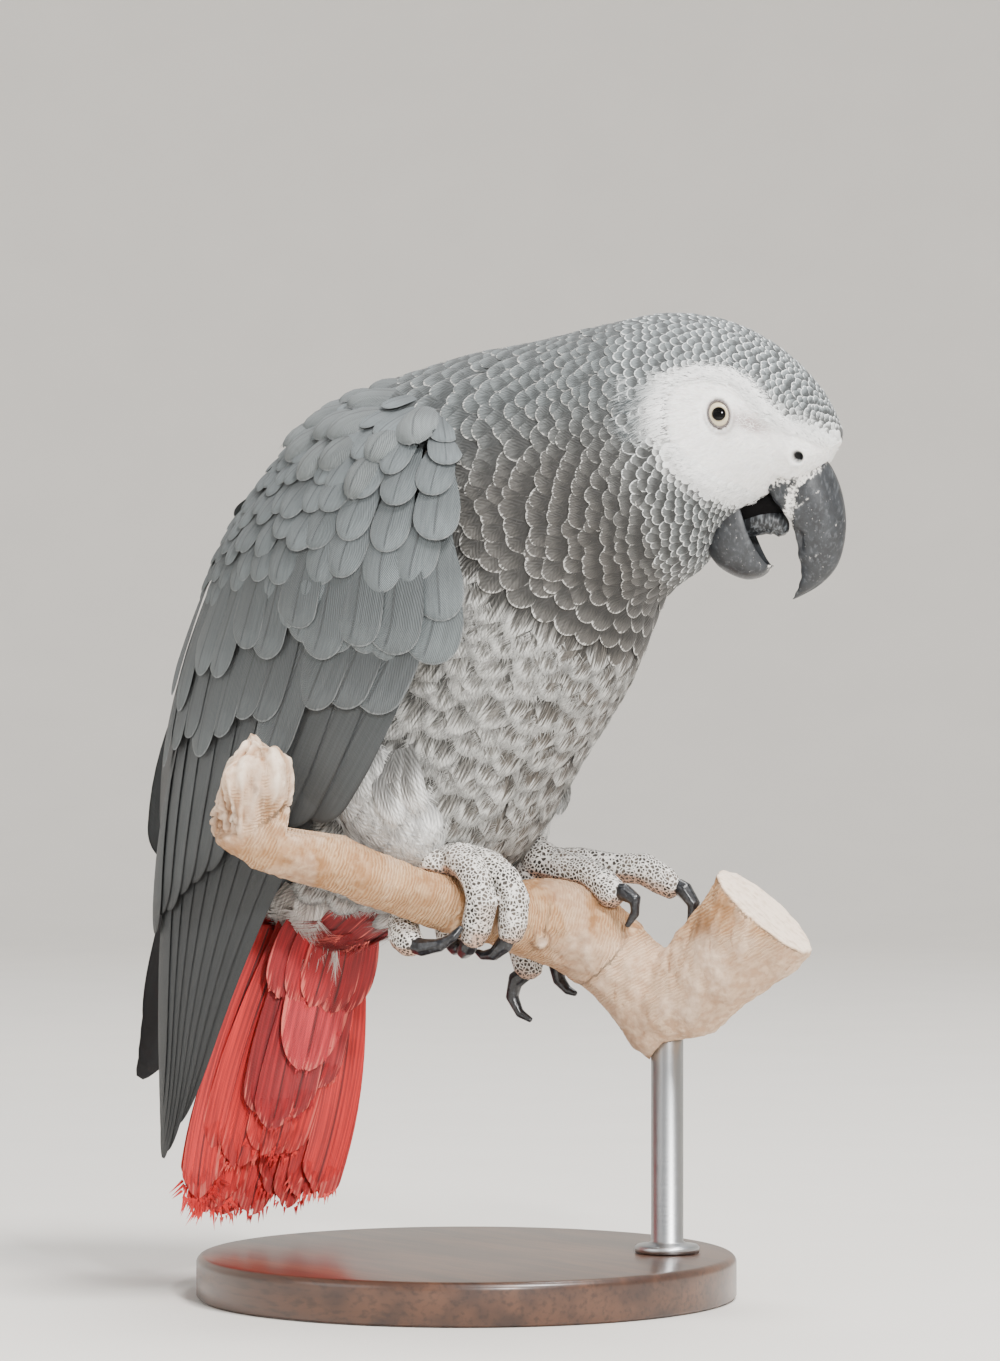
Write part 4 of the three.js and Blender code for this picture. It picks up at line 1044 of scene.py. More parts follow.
# %% Make the finishes of the plumage
def feather_material(name, rim_colour, rim=(0.85, 0.5, 1.0), barbs=15, shaft=0.0, shaft_colour="#1b1c1e",
                     rough=0.72, deep=(0.55, 0.2, 0.6), contrast=0.14, relief=0.1, hair=(0.2, 0.2), edge=0.0,
                     tip=1.0, rise=(0.25, 0.6), lit=None):
    """
    Keratin barbs, matt with a silky sheen; the vane's own UV map tells rim, shaft and barbs. The
    attribute Rim, from 0 to 1, widens the pale rim of each feather inwards from its edge.
    """
    material, add = new_material(name, Roughness=rough, Sheen_Weight=0.08, Sheen_Roughness=0.5)
    across, along = add("SeparateXYZ", add("UVMap", uv_map="Vane")).node.outputs[:2]
    aside = add("size", across)
    dye = add("Attribute", attribute_name="Dye")
    breadth = add("Attribute", out="Fac", attribute_name="Rim")
    # Streaks run along each vane, and a shift by its patch of the map makes every feather's differ.
    own_place = add("Mapping", add("UVMap", uv_map="OFBake"), Scale=(90, 90, 90))
    stretched = add("CombineXYZ", add("times", across, 9.0), add("times", along, 2.2))
    where = add("VectorMath", stretched, own_place, operation="ADD")
    streak = add("TexNoise", where, 1.0, 4.0)
    cloud = speckle(add, 2.2, 4)
    # How far from the middle of the vane, 1 at its edge: first across, then round the end.
    round_end = add("larger", add("over", add("minus", along, ROUND_FROM), 1 - ROUND_FROM), 0.0)
    squares = add("plus", add("times", across, across), add("times", round_end, round_end))
    ragged, mottle = hair
    wavering = add("plus", add("root", squares), add("fade", streak, 0.3, 0.7, -ragged, ragged))
    start, widest, end = rim
    begins = add("minus", start, add("times", breadth, widest))
    pale = add("times", add("fade", wavering, begins, end), add("fade", along, *rise))
    pale = add("times", pale, add("fade", breadth, 0, 0.15))
    colour = add("blend", pale, dye, linear(rim_colour))
    # Barbs slant towards the tip.
    slant = add("minus", along, add("times", aside, 0.45))
    lines = add("sine", add("plus", add("times", slant, barbs * 2 * math.pi), add("times", cloud, 4)))
    shade = add("plus", add("fade", lines, -1, 1, 1 - contrast, 1 + contrast / 2),
                add("fade", streak, 0.3, 0.7, -mottle, mottle))
    # Painted shade: each vane darkens towards its root, where the feathers over it keep the light off; with
    # lit, feathers with a broad pale rim are spared it.
    low, start, end = deep
    uneven = add("plus", along, add("fade", streak, 0.3, 0.7, -ragged / 2, ragged / 2))
    depth = add("fade", uneven, start, end, low, 1.0)
    if lit:
        depth = add("larger", depth, add("fade", breadth, *lit))
    shade = add("times", shade, depth)
    if tip < 1:
        shade = add("times", shade, add("fade", along, 0.4, 1.0, 1.0, tip))
    # The very edge of the vane darkens: partly its own darker margin, partly painted shadow where it lies on
    # the next feather.
    if edge:
        shade = add("times", shade, add("fade", wavering, 0.88, 1.0, 1.0, 1 - edge))
    colour = add("tint", 1.0, colour, add("CombineColor", shade, shade, shade))
    if shaft:
        line = add("times", add("fade", aside, 0.07, 0.025), add("fade", along, 0.97, 0.85, 0, shaft))
        colour = add("blend", line, colour, linear(shaft_colour))
    return finish(material, add("plus", lines, add("times", streak, 2)), relief, 0.7, Base_Color=colour)


head_finish = feather_material("head_feather", "#eef1f1", (0.93, 0.35, 1.0), barbs=5, deep=(0.2, 0.6, 0.9),
                               contrast=0.05, relief=0.04, hair=(0.07, 0.06), lit=(0.55, 0.75))
neck_finish = feather_material("neck_feather", "#cac9c5", (0.95, 0.2, 1.0), barbs=9, deep=(0.25, 0.64, 0.95),
                               contrast=0.06, relief=0.06, hair=(0.08, 0.16))
breast_finish = feather_material("breast_feather", "#b9b9b6", (0.5, 0.4, 0.75), barbs=11,
                                 deep=(0.27, 0.46, 0.74), contrast=0.06, hair=(0.3, 0.24), edge=0.5,
                                 rise=(0.46, 0.76))
down_finish = feather_material("down", "#dfdbd6", (0.4, 0.2, 1.0), barbs=11, deep=(0.8, 0.3, 0.7),
                               contrast=0.03, hair=(0.3, 0.14))
thigh_finish = feather_material("thigh_feather", "#dededc", (0.4, 0.3, 0.9), barbs=9, deep=(0.5, 0.4, 0.8),
                                contrast=0.06, hair=(0.25, 0.2), edge=0.45)
covert_finish = feather_material("wing_covert", "#8c9193", (0.95, 0.1, 1.0), barbs=26, shaft=0.5,
                                 deep=(0.6, 0.35, 0.85), contrast=0.08, hair=(0.02, 0.12), edge=0.3)
flight_finish = feather_material("flight_feather", "#5d6062", (0.96, 0.1, 1.0), barbs=46, shaft=0.3,
                                 rough=0.6, deep=(0.85, 0.1, 0.5), contrast=0.1, relief=0.12,
                                 hair=(0.02, 0.14), edge=0.75, tip=0.55)
red_finish = feather_material("tail_feather", "#ec7266", (1.0, 0.25, 1.2), barbs=40, shaft=0.75,
                              shaft_colour="#33100f", deep=(0.72, 0.1, 0.6), contrast=0.06, relief=0.14,
                              hair=(0.3, 0.32))
print("finishes of plumage: 8")

# %% [markdown]
# ## The coat of head, neck and body
# On the crown the feathers are like fish scales two millimetres wide; they grow down the neck and
# are largest on breast and back. Spacing, length, lift and colour are all read off the place of the
# root. Colours change from silver grey on the head to brownish grey on the breast and nearly white
# on the thighs, always a little different from one feather to the next.

# %% Lay the coat
CROWN, HEAD_PAINTED_SHADE, NECK_GREY, BACK_GREY = "#787f81", "#6c7172", "#54524f", "#6a7071"
BREAST_GREY, BREAST_BROWN, BELLY_GREY = "#74736f", "#5d5750", "#6b6762"
THIGH_PALE, VENT_PALE, NEAR_FACE = "#bbbbba", "#bdb5ae", "#eeefee"
TAIL_RED, TAIL_CRIMSON, TAIL_PINK = "#ec2d2d", "#bb1d26", "#c8323c"


def near_face(t, at, reach):
    """1 at the edge of the bare face, 0 at reach millimetres from it."""
    forward, _, up = in_head(at)
    return soft(inside_patch(forward, up), -reach, -0.3) * soft(t, 0.64, 0.68)


def body_spacing(t, angle, at):
    gap = np.interp(t, [0, 0.1, 0.3, 0.43, 0.52, 0.6, 0.66, 0.74, 0.84, 0.92, 1],
                    [7, 7.4, 7.6, 7.2, 6.3, 4.4, 3.15, 2.75, 2.4, 2.05, 1.8])
    back = 1 + 0.25 * soft(np.sin(angle), 0, 0.6) * soft(t, 0.56, 0.42)
    return gap * back * (1 - 0.3 * near_face(t, at, 7))


def body_pitch(t):
    return np.interp(t, [0.3, 0.43, 0.52, 0.6, 0.66, 0.74], [0.8, 0.58, 0.52, 0.58, 0.68, 0.74])


def body_jitter(t):
    return np.interp(t, [0.3, 0.45, 0.7, 1], [0.13, 0.07, 0.04, 0.05])


def body_dye(t, angle, at, random):
    """The colour of a body feather and how broad its pale rim is."""
    back = soft(np.sin(angle), -0.1, 0.6)[:, None]
    # Painted shade: the head is dyed lighter on top and darker beneath it.
    head = mix(rgb(HEAD_PAINTED_SHADE), rgb(CROWN), soft(np.sin(angle), -0.6, 0.6)[:, None])
    neck = mix(rgb(NECK_GREY), rgb(BACK_GREY), back)
    breast = mix(rgb(BREAST_BROWN), rgb(BREAST_GREY), soft(np.abs(np.cos(angle)), 0.3, 0.85)[:, None])
    front = mix(rgb(BELLY_GREY), breast, soft(t, 0.08, 0.25)[:, None])
    front = mix(rgb(VENT_PALE), front, soft(t, 0.12, 0.2)[:, None])
    colour = mix(mix(front, rgb(BACK_GREY), back), neck, soft(t, 0.34, 0.5)[:, None])
    colour = mix(colour, head, soft(t, 0.56, 0.76)[:, None])
    front = soft(in_head(at)[0], 8, 14)
    pale = np.maximum(near_face(t, at, 5) ** 2, front * near_face(t, at, 7) ** 1.3)
    colour = varied(random, mix(colour, rgb(NEAR_FACE), pale[:, None]), len(t), 0.07)
    breadth = np.interp(t, [0, 0.2, 0.33, 0.45, 0.62, 0.8, 1], [0.8, 0.95, 0.75, 0.35, 0.3, 0.4, 0.4])
    keel = soft(np.sin(angle), -0.3, -0.95) * soft(t, 0.5, 0.4)
    breadth = breadth * (1 - 0.5 * back[:, 0] * soft(t, 0.6, 0.4)) * (1 - 0.5 * keel)
    return colour, np.clip(breadth + 0.4 * pale + wanders(random, len(t), 0.06), 0, 1)


def body_outer(at, u):
    return at - spline((BACK_LINE + BELLY_LINE) / 2, u)


body = Surface(body_surface, body_outer, -1, (0.012, 0.985))


def hidden_by_wing(at, t):
    """True where a folded wing covers the body for good."""
    side = np.abs(at[:, 1])
    low = np.interp(at[:, 2], [100, 120, 150, 180, 205, 225], [-95, -26, -6, 8, 12, 8])
    high = np.interp(at[:, 0], [-80, -60, -20, 10], [190, 215, 240, 232])
    return (t < 0.42) & (side > 24) & (at[:, 0] < low) & (at[:, 2] < high)


def bend_across(surface, u, v, turn=0.04):
    """How sharply the surface bends across the lie, in 1/mm."""
    ahead, _, _, facing = surface.frame(u, v + turn)
    behind, _, _, before = surface.frame(u, v - turn)
    apart = np.maximum(np.linalg.norm(ahead - behind, axis=1), 1e-6)
    return np.clip(dot(facing - before, unit(ahead - behind))[:, 0] / apart, 0, 0.12)


def tile(plumage, surface, u, v, spacing, random, sizes, dye, rim, uv):
    """
    Lays one feather per root. sizes holds shares of the spacing: length, half width, sink of the
    root, lift of the tip, arch across and nosing down; and where the round end begins, how far the
    heading strays, rows and columns, the number of loose barbs, their reach and their rim.
    """
    profile = outline(*sizes["rows"], sizes["round"])
    many = len(u)
    length = sizes["length"] * spacing * (1 + wanders(random, many, 0.07))
    half = sizes["half"] * spacing * (1 + wanders(random, many, 0.05))
    walk = comb(surface, u, v, length, wanders(random, many, sizes["stray"]), profile[0])
    bend = bend_across(surface, u, v)[:, None] + np.zeros(len(profile[0]))
    shape = {"root": -sizes["sink"] * spacing, "arch": sizes["arch"] * spacing,
             "tip": sizes["lift"] * spacing * (1 + wanders(random, many, 0.12)),
             "nose": sizes["nose"] * spacing, "thick": sizes.get("thick", 0.14)}
    lay(plumage, walk, profile, sizes["columns"], half, shape, uv, dye, rim, bend)
    if "barbs" in sizes:
        fringe(plumage, walk, half, length, profile, sizes["barbs"], uv, dye, shape["tip"], sizes["reach"],
               rim=sizes.get("tinge", 0.6))


HEAD_TILE = {"length": 2.1, "half": 0.64, "round": 0.62, "sink": 0.18, "lift": 0.22, "arch": 0.1,
             "nose": 0.07, "stray": 0.06, "rows": (2, 5), "columns": 9}
NECK_TILE = {"length": 1.9, "half": 0.66, "round": 0.6, "sink": 0.18, "lift": 0.16, "arch": 0.1,
             "nose": 0.05, "stray": 0.07, "rows": (3, 6), "columns": 11, "barbs": 12, "reach": 0.08,
             "tinge": 0.0}
BODY_TILE = {"length": 2.3, "half": 0.72, "round": 0.62, "sink": 0.25, "lift": 0.11, "arch": 0.1,
             "nose": 0.08, "stray": 0.12, "rows": (4, 5), "columns": 9, "barbs": 60, "reach": 0.2,
             "tinge": 0.35}
BACK_TILE = {**BODY_TILE, "barbs": 16, "reach": 0.1, "lift": 0.17, "arch": 0.16}
VENT_TILE = {**BODY_TILE, "length": 3.2, "half": 0.6, "arch": 0.03, "nose": 0, "stray": 0.25,
             "barbs": 90, "reach": 0.4}
UNDERTAIL_TILE = {**VENT_TILE, "length": 4, "half": 0.75, "lift": 0.05, "stray": 0.12}


def make_coat():
    random = np.random.default_rng(20)
    u, v = sow_rings(body, body_spacing, body_pitch, (0.02, 0.975), 3, body_jitter)
    at = body_surface(u, v)
    forward, _, up = in_head(at)
    lower_edge = soft(up, 240, 230) * soft(forward, 16, 6)
    covered = inside_patch(forward, up) > 0.3 + 3.2 * lower_edge
    keep = ~((covered | (from_mouth(at, 1) < 1)) & (u > 0.66)) & ~hidden_by_wing(at, u)
    u, v, at = u[keep], v[keep], at[keep]
    spacing = body_spacing(u, v, at)
    dye, rim = body_dye(u, v, at, random)
    uv = on_chart(u * 0.98, v)
    back = np.sin(v) > 0.25
    vent = (u <= 0.15) & ~back
    red = vent & (at @ VIEW_RIGHT > -33) & (at[:, 2] < 114)
    dye[red] = rgb(TAIL_CRIMSON) * (0.55 + 0.35 * random.random((red.sum(), 1)))
    head, neck = u > 0.64, (u <= 0.64) & (u > 0.43)
    tracts = [
        ("coat_crown", head & back, head_finish, HEAD_TILE),
        ("coat_cheek", head & ~back, head_finish, HEAD_TILE),
        ("coat_nape", neck & back, neck_finish, NECK_TILE),
        ("coat_throat", neck & ~back, neck_finish, NECK_TILE),
        ("coat_back", (u <= 0.43) & back, neck_finish, BACK_TILE),
        ("coat_breast", (u <= 0.43) & (u > 0.15) & ~back, breast_finish, BODY_TILE),
        ("coat_vent", vent & ~red, down_finish, VENT_TILE),
        ("coat_undertail", red, red_finish, UNDERTAIL_TILE),
    ]
    for name, chosen, material, sizes in tracts:
        plumage = Plumage()
        roots = (u[chosen], v[chosen], spacing[chosen])
        tile(plumage, body, *roots, random, sizes, dye[chosen], rim[chosen], uv[chosen])
        show(name, plumage.mesh(name), material)
        print("   feathers:", int(chosen.sum()))


make_coat()

# %% [markdown]
# The bare face isn't quite bare: short white bristles, thinner than hair, lie flat on it and blur its
# edge into the grey. Behind it the feathers that cover the ear are as fine as hair. Each of both is a
# sliver of four triangles, drawn a little thicker than life.

# %% Lay the bristles of the face
BRISTLE_TRIES, STREAK_TRIES = 30000, 120000
BRISTLE_WHITE, BRISTLE_GREY = "#f2f0ee", "#cfcdcb"
EAR_DARK, EAR_PALE, EDGE_WHITE, EDGE_GREY = "#3f4547", "#aeb3b4", "#f2f2f1", "#a7abab"


def show_slivers(name, at, thin, under, tip, uv, tint):
    """Barbs that stand alone, each from its foot to its tip."""
    plumage = Plumage()
    points = np.stack([at - thin, at + thin, at - under, tip], 1)
    plumage.add(points, SLIVER, SLIVER_VANE, uv, tint, 0.0)
    show(name, plumage.mesh(name), head_finish)
    print("   slivers:", len(at))


def make_bristles():
    random = np.random.default_rng(5)
    face = Surface(skin_point, body_outer, -1, (0.6, 0.99))
    u, v = random.uniform(0.67, 0.985, BRISTLE_TRIES), random.uniform(-math.pi, math.pi, BRISTLE_TRIES)
    at, along, across, normal = face.frame(u, v)
    forward, left, up = in_head(at)
    area = np.linalg.norm(np.cross(along, across), axis=1)
    inside = inside_patch(forward, up)
    keep = (inside > -1.2) & (random.random(len(u)) < area / np.quantile(area, 0.9))
    keep &= (forward < 26.9) & (np.hypot(forward - NOSTRIL[0], up - NOSTRIL[1]) > 2.4)
    keep &= from_mouth(at, 0.6) > 1
    for side in (-1, 1):
        ratio, depth = round_the_eye(at, side)
        keep &= (ratio > 1.7) | (depth < 0)
    u, v, at, along, normal, inside, left = (x[keep] for x in (u, v, at, along, normal, inside, left))
    away = at - np.where((left > 0)[:, None], eye_directions(1)[0], eye_directions(-1)[0])
    run = unit(unit(-along) + 0.5 * unit(away) + random.normal(0, 0.25, at.shape))
    run = unit(run - normal * (dot(run, normal) - 0.16))
    size = random.uniform(0.9, 2.0, (len(at), 1))
    thin = unit(np.cross(run, normal)) * 0.09
    grey = random.random((len(at), 1)) * soft(inside, 2.5, -1)[:, None]
    tint = mix(rgb(BRISTLE_WHITE), rgb(BRISTLE_GREY), grey)
    show_slivers("face_bristles", at, thin, normal * 0.12, at + run * size, on_chart(u * 0.98, v), tint)


def make_streaks():
    """Hair-like ear coverts behind the bare face, and white bristles that blur its border."""
    random = np.random.default_rng(6)
    over = Surface(lambda u, v: body_surface(u, v, 0.45), body_outer, -1, (0.6, 0.99))
    u, v = random.uniform(0.62, 0.98, STREAK_TRIES), random.uniform(-math.pi, math.pi, STREAK_TRIES)
    at, along, across, normal = over.frame(u, v)
    forward, left, up = in_head(at)
    area = np.linalg.norm(np.cross(along, across), axis=1)
    inside = inside_patch(forward, up)
    ear = np.exp(-((forward + 20.5) / 6.5) ** 4 - ((up - 243.5) / 8) ** 4) * soft(np.abs(left), 8, 13)
    border = 1.6 * np.exp(-((inside + 0.5) / 1.7) ** 2) * soft(u, 0.66, 0.7) * soft(forward, 28, 25)
    border = border * (1 - soft(up, 222, 219))
    wanted = area / np.quantile(area, 0.9) * np.maximum(ear, border) * (inside < 2)
    keep = random.random(len(u)) < wanted
    kept = (x[keep] for x in (u, v, at, along, normal, inside, ear[:, None], forward))
    u, v, at, along, normal, inside, ear, forward = kept
    run = unit(-along) + [0, 0, -0.35] * ear + random.normal(0, 0.16, at.shape)
    run = unit(run - normal * (dot(run, normal) - 0.07))
    size = mix(random.uniform(1.4, 3.0, (len(at), 1)), random.uniform(3.5, 6.5, (len(at), 1)), ear)
    size = size * mix(1, 0.6, soft(forward, 5, 12)[:, None])
    near_edge = soft(np.abs(inside + 0.5), 2, 0.5)[:, None]
    thin = unit(np.cross(run, normal)) * mix(0.1, 0.17, ear)
    middle = at + run * size * 0.5 + normal * 0.1
    at = at + normal * 0.25 * near_edge
    tip = at + run * size - normal * 0.25 * (1 - near_edge)
    clump = np.array([noise.noise(Vector(p * 0.8)) for p in middle])[:, None]
    clump = clump + random.normal(0, 0.15, (len(at), 1))
    far = soft(inside, -1, -7)[:, None]
    streaky = mix(rgb(EAR_DARK), rgb(EAR_PALE), soft(clump, -0.15, 0.35))
    tint = mix(mix(rgb(EDGE_WHITE), rgb(EDGE_GREY), far), streaky, np.clip(1.3 * ear * far, 0, 1))
    show_slivers("ear_coverts", at, thin, normal * 0.14, tip, on_chart(u * 0.98, v), tint)


make_bristles()
make_streaks()

# %% [markdown]
# The legs wear loose, soft, nearly white feathers like short trousers. A row of long flank feathers
# hangs from the body over the top of each.

# %% Lay the thighs
THIGH_TILE = {"length": 2.6, "half": 0.75, "round": 0.6, "sink": 0.2, "lift": 0.14, "arch": 0.1,
              "nose": 0.08, "stray": 0.16, "rows": (4, 5), "columns": 9, "barbs": 50, "reach": 0.2}
FLANK_GREY = "#8d8c89"
DRAPED = 13  # how many flank feathers hang over a thigh


def drape(plumage, side, random):
    """Long flank feathers that hang from the body over the top of the thigh."""
    profile = outline(9, 6, 0.62)
    share = (np.arange(DRAPED) + 0.5) / DRAPED
    x = mix(-26, 3, share) + wanders(random, DRAPED, 1.2)
    y, z = mix(39, 36, share), mix(168, 152, share) + wanders(random, DRAPED, 2)
    foot = np.stack([x, side * y, z], 1)
    run = unit(np.stack([0.22 + wanders(random, DRAPED, 0.06), 0.02 + 0 * x, -1 + 0 * x], 1)) * [1, side, 1]
    length = mix(30, 19, share) * (1 + wanders(random, DRAPED, 0.12))
    out = np.array([0.25, side, 0])
    down = profile[0][None]
    bulge = 4.2 * np.sin(math.pi * np.clip(down * 0.9, 0, 1))
    track = foot[:, None] + run[:, None] * (length[:, None] * down)[..., None]
    track = track + out * bulge[..., None] - 1.5 * out
    ways = unit(np.gradient(track, axis=1))
    walk = track, ways, unit(np.cross(np.cross(ways, np.broadcast_to(out, ways.shape)), ways))
    half = random.uniform(3.6, 5, DRAPED)
    shape = {"arch": 1.0, "tip": 0.8, "thick": 0.2, "torn": 2.5, "tilt": wanders(random, DRAPED, 0.5)}
    dye = varied(random, mix(rgb(THIGH_PALE), rgb(FLANK_GREY), share[:, None]), DRAPED, 0.05)
    uv = np.stack([0.1 + 0.05 * share, 0.5 + side * 0.2 + 0 * share], 1)
    lay(plumage, walk, profile, 11, half, shape, uv, dye, 0.7)
    fringe(plumage, walk, half, length, profile, 60, uv, dye)


def thigh_spacing(t, angle, at):
    return np.interp(t, [0, 0.6, 1], [8, 7, 4])


def make_thigh(side, name):
    random = np.random.default_rng(31 + side)
    core = np.array([[x, -side * y, z] for x, y, z, _, _ in THIGH], float)
    leg = Surface(thigh_surface(side), lambda at, t: at - spline(core, t), 1, (0.02, 0.97))
    u, v = sow(leg, thigh_spacing, (0.05, 0.93), (-math.pi, math.pi), 8 + side, 4000)
    plumage = Plumage()
    dye = varied(random, rgb(THIGH_PALE), len(u), 0.06)
    tile(plumage, leg, u, v, thigh_spacing(u, v, None), random, THIGH_TILE, dye, 0.7,
         on_chart(0.02 + u * 0.3, v))
    drape(plumage, side, random)
    show("coat_thigh_" + name, plumage.mesh("thigh"), thigh_finish)


make_thigh(-1, "right")
make_thigh(1, "left")

# %% [markdown]
# ## Wings
# A folded wing is a stack: small coverts over larger ones over the secondaries, and under those the
# long black primaries that reach the tail. All lie on one curved blade, described by its front and
# rear edges and how far it bulges between them. Coverts are sown like the body's feathers, because
# their sizes change from edge to edge; the larger feathers have fixed places, tier by tier.

# %% Form of a wing
WING_FRONT = [[13, -30.5, 246.5], [23, -40.5, 225], [25, -43.5, 203], [24, -45, 180],
              [6, -46.5, 152], [-22, -46, 118], [-49, -43.5, 78], [-73, -39.5, 35]]
WING_REAR = [[-3, -13, 255.5], [-44, -7, 241], [-74, -4.5, 210], [-88, -4.5, 176],
             [-94, -8, 142], [-93, -16, 112], [-84, -28, 80], [-76, -37.8, 38]]
WING_BULGE = np.array([[4], [16], [21], [20], [15], [8], [4], [1]])
WING_ROUNDING = 0.62
SHOULDER = np.array([0, 0, 250])
LEFT_WING_PITCH = math.radians(11)
LEFT_WING_AHEAD = 4
LEFT_WING_BEND = np.array([-10, -25, 0])


def on_wing(s, t):
    """A point of the right wing's outer face: s from shoulder to tip, t from front to rear edge."""
    front, rear = spline(WING_FRONT, s), spline(WING_REAR, s)
    run = spline(WING_FRONT, s + 1e-4) - spline(WING_FRONT, s - 1e-4)
    out = unit(np.cross(rear - front, run))
    out = out * -np.sign(out[:, 1:2])
    fullness = np.maximum(0, 4 * t * (1 - t)) ** WING_ROUNDING
    return front + (rear - front) * t[:, None] + out * spline(WING_BULGE, s) * fullness[:, None]


def to_side(points, side):
    """Where a point of the right wing goes on the given side."""
    if side < 0:
        return points
    turned = points * [1, -1, 1] + [LEFT_WING_AHEAD, 0, 0] - SHOULDER
    c, s = math.cos(LEFT_WING_PITCH), math.sin(LEFT_WING_PITCH)
    x, z = c * turned[:, 0] + s * turned[:, 2], -s * turned[:, 0] + c * turned[:, 2]
    turned = np.stack([x, turned[:, 1], z], 1) + SHOULDER
    low = np.maximum(0, (SHOULDER[2] - turned[:, 2]) / 190) ** 3
    return turned + LEFT_WING_BEND * low[:, None]


def wing_surface(side):
    outward = np.array([0.0, side, 0.0])
    return Surface(lambda s, t: to_side(on_wing(s, np.clip(t, 0.004, 0.996)), side),
                   lambda at, s: outward, 1, (0.0, 1.0), loops=False)


# %% Lay the wings
COVERT_GREY, COVERT_BLUE, GREATER_GREY, FLIGHT_BLACK = "#5f6668", "#6c7477", "#4f5456", "#2a2e30"
SCAPULAR_TILE = {**BACK_TILE, "lift": 0.26, "arch": 0.34, "half": 0.7, "length": 2.2}
LESSER_TILE = {"length": 2.4, "half": 0.68, "round": 0.7, "sink": 0.16, "lift": 0.25, "arch": 0.12,
               "nose": 0.04, "stray": 0.07, "rows": (5, 7), "columns": 11, "thick": 0.2}


def wing_chart(s, t):
    return np.stack([0.02 + 0.9 * s, 0.02 + 0.9 * t], 1)


def tier(plumage, surface, side, random, count, roots, tips, half, lift, dye, fan=0.0, profile=(9, 9, 0.82),
         step=0.55, rim=0.3, arch=0.5, stray=0.006):
    """
    One tier of long feathers with fixed places, from the front of the wing to its rear. roots and
    tips give s and t of the first and last feather. Every blade is tilted a little, so that its front
    edge rides step millimetres over its neighbour in front.
    """
    share = (np.arange(count) + 0.5) / count
    profile = outline(*profile)
    (s_root, t_root), (s_tip, t_tip) = [[mix(*pair, share) for pair in end] for end in (roots, tips)]
    s_tip = np.minimum(s_tip + fan * np.sin(math.pi * share) + wanders(random, count, stray), 0.998)
    spread = mix(*half, share)
    walk = []
    for y in profile[0]:
        at, along, across, normal = surface.frame(mix(s_root, s_tip, y), mix(t_root, t_tip, y))
        way = unit(along * (s_tip - s_root)[:, None] + across * (t_tip - t_root)[:, None])
        walk.append((at, way, normal))
    walk = [np.stack(rows, 1) for rows in zip(*walk)]
    beside = np.linalg.norm(np.diff(walk[0], axis=0), axis=2).mean()
    shape = {"root": -1.2, "tip": lift, "arch": arch, "nose": 0.3, "ease": 0.8, "thick": 0.3,
             "tilt": -side * step * spread / beside}
    dye = varied(random, dye, count, 0.05)
    lay(plumage, walk, profile, 13, spread, shape, wing_chart(s_tip, t_tip), dye, rim)


def covert_spacing(s, t, at):
    front = np.interp(s, [0, 0.15, 0.3, 0.42], [6.5, 9, 11, 12])
    rear = np.interp(s, [0, 0.15, 0.3, 0.42], [4.2, 5, 6, 7.5])
    return mix(front, rear, soft(t, 0.25, 0.95))


def painted_shade_sheet(name, columns, rows, place, thick, outwards_first):
    """A thin near-black plate of painted shade, on the places that place gives to a grid's x and y."""
    bm = bmesh.new()
    bmesh.ops.create_grid(bm, x_segments=columns, y_segments=rows, size=1)
    moved_to(bm, place(*places_in(bm).T[:2]))
    if outwards_first:
        face_outwards(bm)
    bmesh.ops.solidify(bm, geom=bm.faces[:], thickness=thick * MM)
    sheet = show(name, face_outwards(bm), flight_finish)
    paint(sheet.data, "Dye", np.tile(rgb(FLIGHT_BLACK), (len(sheet.data.vertices), 1)))
    paint(sheet.data, "Rim", np.zeros(len(sheet.data.vertices)))


